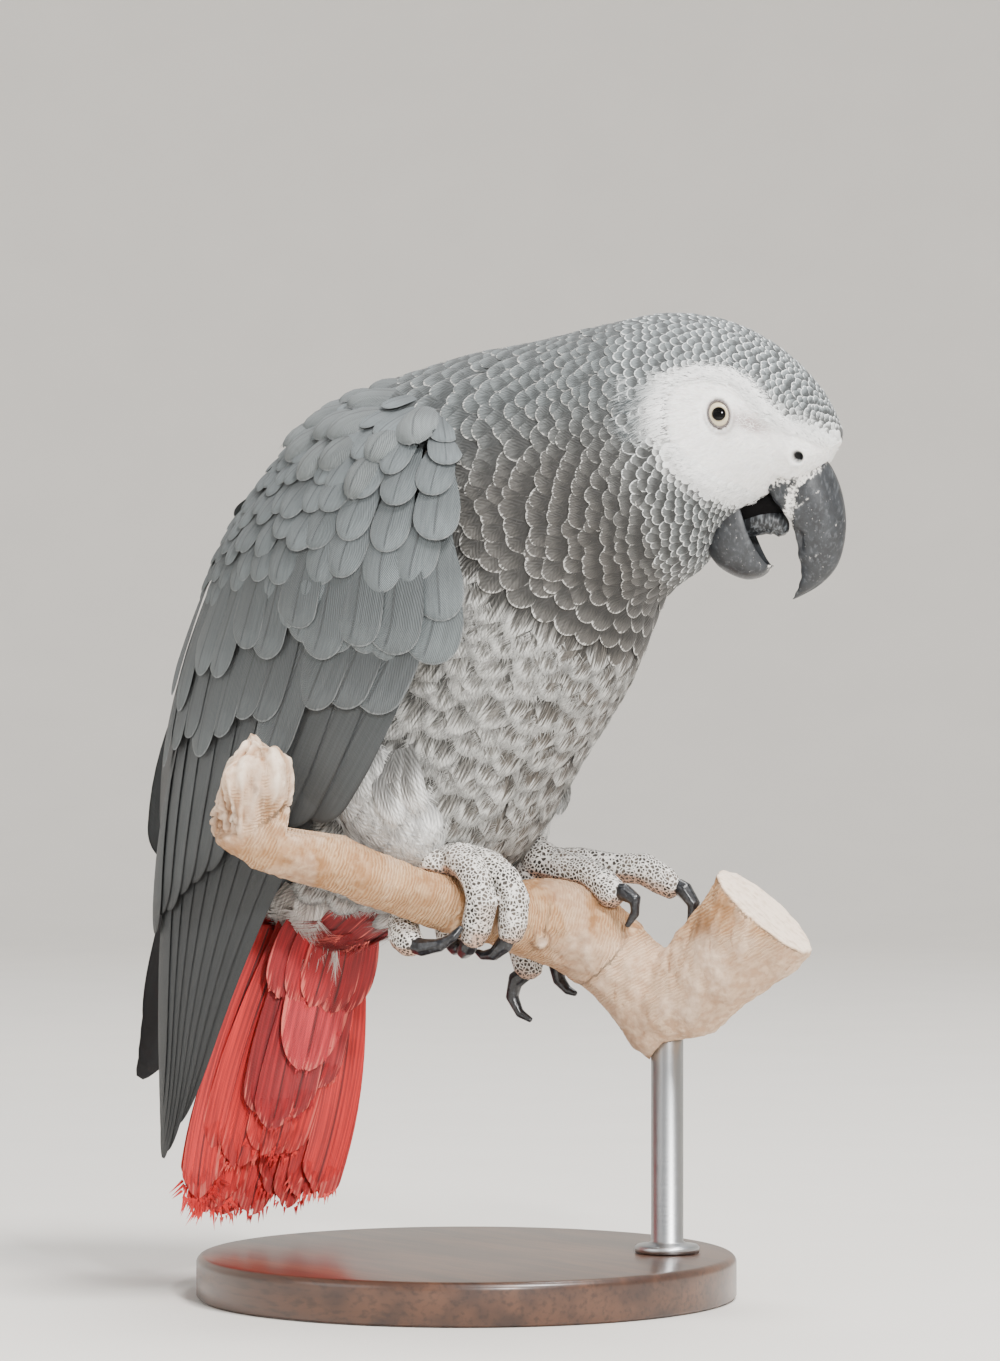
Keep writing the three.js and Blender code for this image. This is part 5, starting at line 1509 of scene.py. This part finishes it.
def make_wing(side, name):
    random = np.random.default_rng(50)
    surface = wing_surface(side)
    flights, coverts, scapulars = Plumage(), Plumage(), Plumage()
    dark, mid = rgb(FLIGHT_BLACK), rgb(GREATER_GREY)
    tier(flights, surface, side, random, 9, ((0.46, 0.56), (0.06, 0.84)), ((0.95, 0.95), (0.16, 0.92)),
         (6.4, 6.4), 0.6, dark, fan=0.045, profile=(16, 9, 0.8), step=0.6, rim=0.15)
    tier(flights, surface, side, random, 11, ((0.38, 0.44), (0.04, 0.95)), ((0.65, 0.78), (0.05, 0.95)),
         (9, 7.5), 1.6, mix(dark, mid, 0.6), profile=(12, 8, 0.87), rim=0.15, step=0.85)
    show("flights_" + name, flights.mesh("flights"), flight_finish, ["wing_" + name])
    tier(coverts, surface, side, random, 11, ((0.29, 0.34), (0.05, 0.95)), ((0.535, 0.57), (0.05, 0.95)),
         (9, 7), 2.6, mix(mid, rgb(COVERT_GREY), 0.3), profile=(10, 9, 0.84), arch=0.7,
         stray=0.016, step=0.75)
    tier(coverts, surface, side, random, 10, ((0.22, 0.28), (0.06, 0.95)), ((0.425, 0.48), (0.06, 0.95)),
         (9.2, 6.4), 3.4, mix(mid, rgb(COVERT_GREY), 0.7), profile=(9, 9, 0.8), arch=0.8, stray=0.022)
    s, t = sow(surface, covert_spacing, (0.0, 0.3), (0.03, 0.97), 77, 9000)
    dye = mix(rgb(COVERT_BLUE), rgb(COVERT_GREY), soft(s, 0.05, 0.3)[:, None])
    dye = varied(random, dye, len(s), 0.06)
    tile(coverts, surface, s, t, covert_spacing(s, t, None), random, LESSER_TILE, dye, 0.35, wing_chart(s, t))
    show("coverts_" + name, coverts.mesh("coverts"), covert_finish)
    print("   coverts:", len(s))

    s, t = sow(surface, lambda s, t, at: 8.5 + 0 * s, (0.0, 0.1), (0.3, 0.97), 78, 3000)
    dye = varied(random, rgb(BACK_GREY), len(s), 0.06)
    tile(scapulars, surface, s, t, 9.5 + 0 * s, random, SCAPULAR_TILE, dye, 0.2, wing_chart(s, t))
    show("scapulars_" + name, scapulars.mesh("scapulars"), covert_finish)

    def under_feathers(x, y):
        at, _, _, normal = surface.frame(0.02 + 0.3 * (y + 1), 0.54 + 0.38 * x)
        return at - 2.0 * normal

    # Painted shade: a near-black sheet under the feathers stands for the shade between them.
    painted_shade_sheet("wing_shade_sheet_" + name, 24, 60, under_feathers, 2.4, False)


def between_wings(x, y):
    """A near-black plate of painted shade across the back, from the rear edge of one wing to that of the
    other.
    """
    s = 0.12 + 0.3 * (y + 1)
    right, left = (wing_surface(side).point(s, np.full(len(s), 0.985)) for side in (-1, 1))
    return mix(right, left, (x / 2 + 0.5)[:, None]) + [2.5, 0, 0]


make_wing(-1, "right")
make_wing(1, "left")
# Painted shade: a near-black sheet across the back between the wings.
painted_shade_sheet("rump_shade_sheet", 8, 50, between_wings, 1.2, True)

# %% [markdown]
# ## Tail
# Twelve scarlet tail feathers lie in two stacks on either side of the middle pair, with shorter
# coverts above and below. Their ends are worn: barbs have come apart and stand out in spikes. Each
# feather is a long blade on the plane of the tail; stouter loose barbs make its torn end. Thin wisps
# of down hang from the vent over its root.

# %% Lay the tail
TAIL_ROOT, TAIL_TIP = np.array([-48, -2.5, 108]), np.array([-72, -8, 17])
TAIL_TWIST = math.radians(14)
TAIL_DOWN = TAIL_TIP - TAIL_ROOT
TAIL_ALONG = TAIL_DOWN / np.linalg.norm(TAIL_DOWN)
WISP_GREY, WISP_DARK = "#a89f98", "#756e6a"
WISP_TRIES = 560


def turned_about(vector, axis, angle):
    c, s = math.cos(angle), math.sin(angle)
    return vector * c + np.cross(axis, vector) * s + axis * (axis @ vector) * (1 - c)


TAIL_ACROSS = turned_about(np.array([0.0, 1, 0]), TAIL_ALONG, TAIL_TWIST)
TAIL_BACK = np.cross(TAIL_ALONG, TAIL_ACROSS)
TAIL_BACK = TAIL_BACK * -np.sign(TAIL_BACK[0])
# count, from and to along the tail, height at root and tip, step between feathers at root and tip,
# spread at root and tip, half width, where the round end starts, colour
TAIL_ROWS = [
    (12, (0.08, 1.0), (-3, -3), (0.3, 0.75), (3, 4.5), 8.2, 0.92, TAIL_RED),
    (3, (0.02, 0.42), (-6, -7.4), (0.6, 0.9), (6, 10), 10, 0.8, TAIL_RED),
    (6, (0.02, 0.93), (4.6, 5.0), (-0.4, -0.6), (4.4, 6.4), 7.6, 0.9, TAIL_RED),
    (4, (0.0, 0.7), (6, 7.6), (-0.5, -0.7), (5.4, 7.6), 8, 0.86, TAIL_CRIMSON),
    (1, (-0.04, 0.54), (7.4, 9.4), (0, 0), (1, 1), 13.5, 0.62, TAIL_PINK),
    (5, (-0.06, 0.34), (8.6, 10), (-0.3, -0.5), (4, 6.4), 7.5, 0.66, TAIL_CRIMSON),
]


def tail_rank(random, count, start, ends, height, layer, spread, profile):
    """Walks down the tail for one stack of feathers, the middle one on top."""
    rank = np.arange(count)
    middle = np.ceil(rank / 2) if count % 2 else rank // 2 + 0.5
    place = np.where(rank % 2, middle, -middle)
    rows = profile[0][None]
    y = mix(start, ends[:, None], rows)
    across = place[:, None] * mix(*spread, np.sin(2.3 * rows))
    across = across + wanders(random, count, 0.5)[:, None] + wanders(random, count, 1.6)[:, None] * rows
    above = mix(*height, rows) + rank[:, None] * mix(*layer, rows)
    track = TAIL_ROOT + y[..., None] * TAIL_DOWN + across[..., None] * TAIL_ACROSS
    track = track - above[..., None] * TAIL_BACK
    ways = unit(np.gradient(track, axis=1))
    facing = -TAIL_BACK * (1 if height[0] > 0 else -1)
    return place, (track, ways, unit(np.cross(np.cross(ways, facing), ways)))


def make_tail():
    random = np.random.default_rng(11)
    plumage = Plumage()
    for count, (start, end), height, layer, spread, half, round_from, colour in TAIL_ROWS:
        profile = outline(14, 8, round_from)
        ends = end * (1 - (0.06 if end == 1 else 0.2) * random.random(count) - 0.006 * np.arange(count))
        place, walk = tail_rank(random, count, start, ends, height, layer, spread, profile)
        size = half * (1 + wanders(random, count, 0.06))
        shape = {"arch": 0.7, "thick": 0.3, "torn": 5.0 if end > 0.9 else 1.5,
                 "tilt": wanders(random, count, 0.5)}
        dye = varied(random, rgb(colour), count, 0.12)
        uv = np.stack([0.1 + 0.8 * (place / 14 + 0.5), np.full(count, 0.1 + 0.8 * end)], 1)
        lay(plumage, walk, profile, 19, size, shape, uv, dye, 0.35)
        length = np.linalg.norm(walk[0][:, -1] - walk[0][:, 0], axis=1)
        fringe(plumage, walk, size, length, profile, 16, uv, dye, 0.0, 0.04, splay=0.3, rim=0.1, thick=0.45)
        if end == 1:  # the outermost ends on the bird's right are the most worn
            worn = np.argsort(place)[:3]
            torn = [rows[worn] for rows in walk]
            fringe(plumage, torn, size[worn], length[worn], profile, 16, uv[worn], dye[worn], 0.0, 0.075,
                   splay=0.9, rim=0.1, thick=0.5)
    show("tail_feathers", plumage.mesh("tail"), red_finish, ["tail"])
    make_wisps(random)


def make_wisps(random):
    """Down that hangs from the vent."""
    down = Plumage()
    profile = outline(6, 4, 0.6)
    turn = random.uniform(-math.pi, math.pi, WISP_TRIES)
    deep, wide = 9 * np.sin(turn), 15 * np.cos(turn)
    foot = TAIL_ROOT - 0.06 * TAIL_DOWN + wide[:, None] * TAIL_ACROSS + (deep - 4)[:, None] * -TAIL_BACK
    chosen = np.abs(foot @ VIEW_RIGHT + 40) < 4.5
    foot, turn, count = foot[chosen], turn[chosen], chosen.sum()
    out = unit(np.cos(turn)[:, None] * TAIL_ACROSS - np.sin(turn)[:, None] * TAIL_BACK)
    run = unit(TAIL_ALONG + 0.16 * out + random.normal(0, 0.07, (count, 3)))
    length = random.uniform(8, 23, count)
    track = foot[:, None] + run[:, None] * (length[:, None] * profile[0][None])[..., None]
    ways = np.repeat(run[:, None], len(profile[0]), 1)
    walk = track, ways, unit(np.cross(np.cross(ways, out[:, None]), ways))
    size = random.uniform(0.2, 0.6, count)
    shape = {"arch": 0.3, "tip": 1.5, "thick": 0.12, "torn": 5.0}
    dye = mix(rgb(WISP_GREY), rgb(WISP_DARK), random.random((count, 1)))
    uv = np.stack([0.02 + 0 * turn, turn / 7 + 0.5], 1)
    lay(down, walk, profile, 5, size, shape, uv, dye, 0.4)
    fringe(down, walk, size, length, profile, 34, uv, dye, 0.0, 0.3, splay=0.4, rim=0.3)
    show("vent_down", down.mesh("down"), down_finish)


make_tail()

# %% [markdown]
# ## Feet
# The solids give each foot as a shank and four toes, cut apart. On the real bird one skin covers
# them all, so copies of those solids are joined, swollen by a hair to close the cuts, and remeshed
# into one even surface that is then smoothed. The hide is a net of small raised scales.

# %% Fuse solids into one skin
def fused(name, nodes, voxel, swell, rounds):
    """One smooth closed mesh from copies of some nodes of the frame."""
    bm = bmesh.new()
    for node in nodes:
        bm.from_mesh(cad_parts[node].data)
    bmesh.ops.remove_doubles(bm, verts=bm.verts, dist=1e-6)
    bm.normal_update()
    for vertex in bm.verts:
        vertex.co += vertex.normal * swell * MM
    carrier = put_in_scene(name, bm)
    remesh = carrier.modifiers.new("one_skin", "REMESH")
    remesh.mode = "VOXEL"
    remesh.voxel_size = voxel * MM
    smooth = carrier.modifiers.new("soften", "SMOOTH")
    smooth.iterations = rounds
    smooth.factor = 0.5
    graph = bpy.context.evaluated_depsgraph_get()
    result = bpy.data.meshes.new_from_object(carrier.evaluated_get(graph))
    rough = carrier.data
    bpy.data.objects.remove(carrier)
    bpy.data.meshes.remove(rough)
    return result


SCALE_WIDE = 1.05
PIT_DARK, PIT_BROWN, SCALE_PALE, SOLE_TONE_AND_SHADE = "#2c2724", "#6b625a", "#e9e5df", "#c9a893"
CLAW_BLACK, CLAW_GREY = "#15161a", "#3a3d42"


def foot_material():
    """Hide of small scales: dark pits ringed by a pale, dusty net, dry and matt. Faces that turn down are
    tan: the soles' own tone and painted shade.
    """
    material, add = new_material("scaled_hide", Roughness=0.7)
    where, cell = add("TexCoord", out="Object"), 1 / (SCALE_WIDE * MM)
    edge = add("TexVoronoi", where, cell, feature="DISTANCE_TO_EDGE")
    spot = add("TexVoronoi", where, cell, feature="F1")
    net = add("fade", edge, 0.08, 0.2, 1, 0)
    # How far a face turns down: it carries the soles' tan tone together with painted shade.
    worn = add("Attribute", out="Fac", attribute_name="Underside")
    pit = add("blend", add("fade", speckle(add, 6), 0.35, 0.7), linear(PIT_DARK), linear(PIT_BROWN))
    scale = add("blend", worn, linear(SCALE_PALE), linear(SOLE_TONE_AND_SHADE))
    relief = add("plus", net, add("times", spot, 0.3))
    return finish(material, relief, 0.35, 0.9, Base_Color=add("blend", net, pit, scale))


def claw_material():
    """Claws are black horn, smoother and glossier than the bill."""
    material, add = new_material("claw_horn", Roughness=0.28, IOR=1.54)
    grain = speckle(add, 0.9, 4)
    colour = add("blend", add("fade", grain, 0.45, 0.75), linear(CLAW_BLACK), linear(CLAW_GREY))
    return finish(material, grain, 0.05, 0.6, Base_Color=colour)


def make_feet():
    hide, claw = foot_material(), claw_material()
    for side in ("right", "left"):
        skin_nodes = [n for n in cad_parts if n.startswith(("shank_" + side, "toe_" + side))]
        claw_nodes = [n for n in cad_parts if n.startswith("claw_" + side)]
        skin = fused("foot", skin_nodes, 0.45, 0.35, 14)
        foot = show("foot_" + side, skin, hide, skin_nodes)
        # The undersides get the tan of the soles and painted shade.
        paint(foot.data, "Underside", soft(of_vertices(foot.data, "normal")[:, 2], -0.1, -0.6))
        show("claws_" + side, fused("claws", claw_nodes, 0.3, 0.55, 10), claw, claw_nodes)


make_feet()

# %% [markdown]
# ## Perch and stand
# The perch is driftwood: bark gone, sanded by water, bleached where it stands out and sawn off square
# at one end. Its copy is remeshed finely enough for relief along the grain. The stand is plain and
# made: a turned disc of dark wood under varnish and a steel rod.

# %% Make the perch
SAW_CUT = np.array([76, 34, 108])
LIMB_RUN = np.array([11, 2, 13]) / np.linalg.norm([11, 2, 13])
# The middle line of the perch, from the knob to the elbow over the rod.
PERCH_LINE = np.array([[-28.5, -67, 146], [-27.5, -65, 131], [-20.5, -60, 126.5], [-5.7, -45, 118.6],
                       [9.9, -24, 110], [18, 3, 105.5], [32, 23, 96], [43, 28, 75]])
# A twig once stood here: how far to the right and how high, on the side that faces the viewer.
NUB = (20.5, 99.6)
KNOT = (-56.5, 142)  # a dark knot on the knob, measured likewise
STAIN, STAIN_SPREAD = [62, 17, 104], [30, 30, 9]
KNOB_MIDDLE = np.array([-26.5, -67, 142])
# The knob was chopped: flat cuts, as the way each one faces and how far it lies from the middle.
KNOB_CUTS = [((0.45, -0.88, 0.1), 9.4), ((0.84, 0.53, -0.13), 11.0), ((-0.3, -0.93, -0.2), 9.8),
             ((-0.805, -0.503, 0.315), 7.4), ((0.395, 0.247, 0.885), 11.4),
             ((-0.66, -0.412, 0.627), 8.2), ((0.2, -0.75, 0.63), 10.2)]
KNOB_PEAKS = [(-29, -62, 2.0), (-18, -67, 2.2), (-23.5, -65, -1.2)]
WOOD_TAN, WOOD_PALE, WOOD_FLAKE_AND_HIGHLIGHT, WOOD_GRAIN = "#94683f", "#b18258", "#e0bd96", "#dcbc96"
WOOD_BLEACHED, WOOD_CHECK, WOOD_DARKENED = "#f4e0cb", "#8a5f40", "#6e4a30"
WRINKLE_WIDE = 0.9


def driftwood_material():
    """Driftwood: matt, tan with bleached highs, fine wrinkles across the limb whose pale crests are pale
    flakes and painted highlight, and dark checks.
    """
    material, add = new_material("driftwood", Roughness=0.78)
    worn, run, darkened = (add("Attribute", out="Fac", attribute_name=name) for name in ("Worn", "Run", "Darkened"))
    cloud = speckle(add, 16, 5)
    grain = speckle(add, 2.2, 6)
    check = speckle(add, 2.6, 8, (1, 1, 0.3))
    # The wrinkles' pale crests: pale flaking of the wood with a painted highlight on it.
    wave = add("plus", add("times", run, 2 * math.pi / WRINKLE_WIDE), add("times", grain, 11))
    wrinkle = add("times", add("fade", add("sine", wave), -1, 1), add("fade", cloud, 0.35, 0.6))
    wrinkle = add("times", wrinkle, add("fade", worn, 0.25, 0.5, 1, 0))
    colour = add("blend", add("fade", cloud, 0.3, 0.7), linear(WOOD_TAN), linear(WOOD_PALE))
    for amount, top in (
        (add("times", wrinkle, 0.55), WOOD_FLAKE_AND_HIGHLIGHT),
        (add("fade", grain, 0.4, 0.7, 0, 0.34), WOOD_GRAIN),
        (add("times", worn, add("fade", grain, 0.2, 0.6, 0.55, 1)), WOOD_BLEACHED),
        (add("fade", check, 0.64, 0.74, 0, 0.6), WOOD_CHECK),
        (add("times", darkened, add("fade", grain, 0.3, 0.6)), WOOD_DARKENED),
    ):
        colour = add("blend", amount, colour, linear(top))
    relief = add("plus", add("plus", grain, add("times", check, -0.6)), add("times", wrinkle, 0.55))
    return finish(material, relief, 0.5, 0.9, Base_Color=colour)


def along_line(points, line):
    """How far along a line of points each point lies, in millimetres."""
    nearest = np.full(len(points), 1e9)
    run = np.zeros(len(points))
    start = 0
    for a, b in zip(line, line[1:]):
        step = b - a
        share = np.clip((points - a) @ step / (step @ step), 0, 1)
        gap = np.linalg.norm(points - a - share[:, None] * step, axis=1)
        closer = gap < nearest
        nearest = np.where(closer, gap, nearest)
        run = np.where(closer, start + share * np.linalg.norm(step), run)
        start += np.linalg.norm(step)
    return run


def broken(points, size):
    """Broken wood: flat facets with sharp ridges between them, from 0 in a valley to 1."""
    near = [noise.voronoi(Vector(p / size))[0] for p in points]
    return np.array([min(1.0, 1.6 * (d[1] - d[0])) for d in near])


def grown(points, scale, *fractal):
    """Uneven growth of wood, drawn out along the axis whose scale is smallest."""
    return np.array([noise.fractal(Vector(p * scale), *fractal) for p in points])


def make_perch():
    mesh = fused("perch", ["perch"], 0.8, 0.1, 8)
    at, normals = vertices_of(mesh), of_vertices(mesh, "normal")
    rough = grown(at, [0.09, 0.09, 0.05], 1.0, 2.1, 5)
    fine = grown(at, [0.5, 0.5, 0.16], 0.9, 2.0, 3)
    grooves = grown(at, [0.35, 0.35, 0.05], 1.0, 2.0, 3)
    cut = (SAW_CUT - at) @ LIMB_RUN
    knob = soft(at[:, 2], 124, 134) * soft(at[:, 0], 0, -8)
    chosen = knob > 0.02
    crumbs = np.zeros(len(at))
    crumbs[chosen] = broken(at[chosen] + 40, 2.6)
    crusted = soft(at[:, 2], 142, 134) * knob * soft(normals @ [-0.85, -0.53, 0], -0.2, 0.4)
    lift = (0.9 * rough + 0.25 * fine) * (1 - 0.3 * knob)
    lift = lift + knob * 1.3 * grooves + crusted * 2.4 * (crumbs - 0.6) + 0.5 * rough * soft(at[:, 0], 30, 44)
    from_nub = np.hypot(at @ VIEW_RIGHT - NUB[0], at[:, 2] - NUB[1]) + 9 * soft(normals @ VIEW_NEAR, 0.4, 0)
    lift = lift + 1.5 * soft(from_nub, 3.2, 1.4) - 0.7 * soft(from_nub, 1.2, 0.3)
    on_rod = soft(at[:, 2], 70, 66)
    for way, depth in KNOB_CUTS:
        way = np.array(way) / math.hypot(*way)
        beyond = np.maximum(0, (at - KNOB_MIDDLE) @ way - depth)
        at = at - way * (beyond * (knob > 0.5))[:, None]
    at = at + normals * (lift * soft(cut, 0.2, 1.5) * (1 - on_rod))[:, None]
    peaks = sum(tall * np.exp(-((at[:, 0] - x) ** 2 + (at[:, 1] - y) ** 2) / 7) for x, y, tall in KNOB_PEAKS)
    at = at + [0, 0, 1] * (peaks * soft(at[:, 2], 145, 150))[:, None]
    mesh.vertices.foreach_set("co", (at * MM).ravel())
    mesh.update()

    elbow = 0.3 * soft(at[:, 2], 104, 96) * soft(at[:, 0], 20, 30)
    worn = 0.62 * knob * (0.65 + 1.1 * grooves) + elbow + 0.2 * soft(rough, 0.15, 0.5)
    worn = worn + soft(cut, 1.0, 0.2) + 0.5 * soft(from_nub, 1.8, 0.8)
    across_cut = np.linalg.norm(at - SAW_CUT - ((at - SAW_CUT) @ LIMB_RUN)[:, None] * LIMB_RUN, axis=1)
    # Darker marks: a stain by the cut and a knot on the knob, and besides them the wood is darker in the
    # valleys of grooves and crumbs and in a ring round the nub.
    dark = np.exp(-np.sum((at - STAIN) ** 2 / STAIN_SPREAD, 1)) * 0.8
    in_knot = np.exp(-((at @ VIEW_RIGHT - KNOT[0]) ** 2 / 9 + (at[:, 2] - KNOT[1]) ** 2 / 12))
    dark = dark + 0.7 * knob * in_knot
    dark = dark + 0.6 * crusted * soft(crumbs, 0.5, 0.1) + 0.5 * knob * soft(grooves, -0.1, -0.5)
    dark = dark + 0.8 * np.exp(-((from_nub - 2.7) / 0.6) ** 2)
    perch = show("driftwood_perch", mesh, driftwood_material(), ["perch"])
    paint(perch.data, "Worn", np.clip(worn, 0, 1))
    paint(perch.data, "Run", np.where(cut < 1.0, across_cut * 0.7, along_line(at, PERCH_LINE)))
    paint(perch.data, "Darkened", np.clip(dark, 0, 1))


make_perch()

# %% Make the stand
BASE_RADIUS, BASE_HEIGHT, ROD_RADIUS, ROD_TOP = 75, 12, 4.5, 80
BASE_ROUNDING = 2.2
ROD_PLACE = (47, 30)
ROD_FOOT = BASE_HEIGHT + 0.3
STAND_BROWN, STAND_RED, STAND_GRAIN, STEEL = "#3a241a", "#5a3a28", "#26160f", "#b9bbbd"
WALL_PALE, WALL_PALER = "#dcd8d2", "#e2ded8"


def lathe(profile, centre, steps=128):
    """Turns an open profile [radius, height], in millimetres, round an upright axis."""
    bm = bmesh.new()
    verts = [bm.verts.new((centre[0] + r, centre[1], z)) for r, z in profile]
    edges = [bm.edges.new(pair) for pair in zip(verts, verts[1:])]
    bmesh.ops.spin(bm, geom=verts + edges, cent=(*centre, 0), axis=(0, 0, 1), angle=2 * math.pi,
                   steps=steps, use_merge=True, use_duplicate=False)
    bmesh.ops.remove_doubles(bm, verts=bm.verts, dist=1e-3)
    bmesh.ops.scale(bm, vec=(MM, MM, MM), verts=bm.verts)
    return bm


def varnished_wood():
    """Dark stained beech under satin varnish: long fine grain below a soft, even gloss."""
    material, add = new_material("stained_beech", Roughness=0.4, Coat_Weight=0.5, Coat_Roughness=0.22)
    grain = speckle(add, 1.4, 6, (0.08, 1, 1), (0, 0, 0.4))
    ring = speckle(add, 9, 2, (0.15, 1, 1), (0, 0, 0.4))
    colour = add("blend", add("fade", ring, 0.3, 0.7), linear(STAND_BROWN), linear(STAND_RED))
    colour = add("blend", add("fade", grain, 0.45, 0.7, 0, 0.6), colour, linear(STAND_GRAIN))
    return finish(material, grain, 0.05, 0.5, Base_Color=colour)


def brushed_steel():
    """Brushed steel: metal with fine rings from polishing on a lathe, which smear the highlight."""
    material, add = new_material("brushed_steel", Metallic=1.0, Roughness=0.3, Base_Color=linear(STEEL))
    rings = speckle(add, 0.5, 2, (0.02, 0.02, 1))
    return finish(material, rings, 0.003, 0.3, Roughness=add("fade", rings, 0.3, 0.7, 0.3, 0.4))


def make_stand():
    edge = [(BASE_RADIUS - BASE_ROUNDING * (1 - math.sin(a)), BASE_HEIGHT - BASE_ROUNDING * (1 - math.cos(a)))
            for a in np.linspace(0, math.pi / 2, 8)]
    profile = [(0, BASE_HEIGHT), (40, BASE_HEIGHT)] + edge + [(BASE_RADIUS, 1), (BASE_RADIUS - 1, 0), (0, 0)]
    base = face_outwards(lathe(profile, (0, 0)))
    show("turned_base", base, varnished_wood(), ["stand_base"])
    profile = [(0, ROD_TOP), (ROD_RADIUS - 0.5, ROD_TOP), (ROD_RADIUS, ROD_TOP - 0.5),
               (ROD_RADIUS, ROD_FOOT + 3), (ROD_RADIUS + 1, ROD_FOOT + 2.4), (8.4, ROD_FOOT + 2),
               (9, ROD_FOOT + 1.4), (9, ROD_FOOT), (0, ROD_FOOT)]
    rod = face_outwards(lathe(profile, ROD_PLACE, 64))
    show("steel_rod", rod, brushed_steel(), ["stand_rod"])


make_stand()

# %% [markdown]
# ## Floor and light
# A round studio: a pale floor that curves up into a wall all round, so that no view shows an edge. A
# large soft light stands above on the camera's right, a wider, weaker one on the left, and one behind
# the bird lifts its outline. A small one puts the highlight in the eye, and the studio's own air
# fills the shadows.

# %% Make the studio
STUDIO_RADIUS, COVE_RADIUS, WALL_HEIGHT, FLOOR_MIDDLE = 3200, 1200, 2600, 900
LIGHTS_LOOK_AT = Vector((0, 0, 0.17))
AIR_COLOUR, AIR_STRENGTH = "#dfe3e8", 0.55
# name, azimuth from the front, height, distance, size, power and colour of each light
LIGHTS = [
    ("key", 75, 2.0, 1.2, 0.7, 76, (1.0, 0.985, 0.96)), ("glint", 50, 0.62, 1.3, 0.1, 14, (1.0, 1.0, 1.0)),
    ("fill", -25, 0.9, 1.9, 1.4, 11, (0.96, 0.98, 1.0)), ("top", 190, 2.3, 0.7, 1.0, 44, (1.0, 1.0, 1.0)),
]


def make_studio():
    flat = STUDIO_RADIUS - COVE_RADIUS
    cove = [(flat + COVE_RADIUS * math.sin(a), COVE_RADIUS * (1 - math.cos(a)))
            for a in np.linspace(0, math.pi / 2, 16)]
    bm = lathe([(0, 0), (FLOOR_MIDDLE, 0)] + cove + [(STUDIO_RADIUS, WALL_HEIGHT)], (0, 0), 96)
    floor = put_in_scene("studio_floor", bm)
    floor.data.shade_smooth()
    material, add = new_material("matt_paint", Roughness=0.9)
    colour = add("blend", speckle(add, 60, 2), linear(WALL_PALE), linear(WALL_PALER))
    floor.data.materials.append(finish(material, Base_Color=colour))


def soft_light(name, azimuth, height, away, size, power, colour):
    data = bpy.data.lights.new(name, "AREA")
    data.shape = "DISK"
    data.size = size
    data.energy = power
    data.color = colour
    lamp = bpy.data.objects.new(name, data)
    bpy.context.collection.objects.link(lamp)
    a = math.radians(azimuth)
    lamp.location = (away * math.sin(a), -away * math.cos(a), height)
    lamp.rotation_euler = (LIGHTS_LOOK_AT - lamp.location).to_track_quat("-Z", "Y").to_euler()


make_studio()
for light in LIGHTS:
    soft_light(*light)
world = bpy.data.worlds.new("studio_air")
bpy.context.scene.world = world
world.use_nodes = True
air = world.node_tree.nodes["Background"].inputs
air["Color"].default_value = linear(AIR_COLOUR)
air["Strength"].default_value = AIR_STRENGTH
print("lights:", len(LIGHTS))
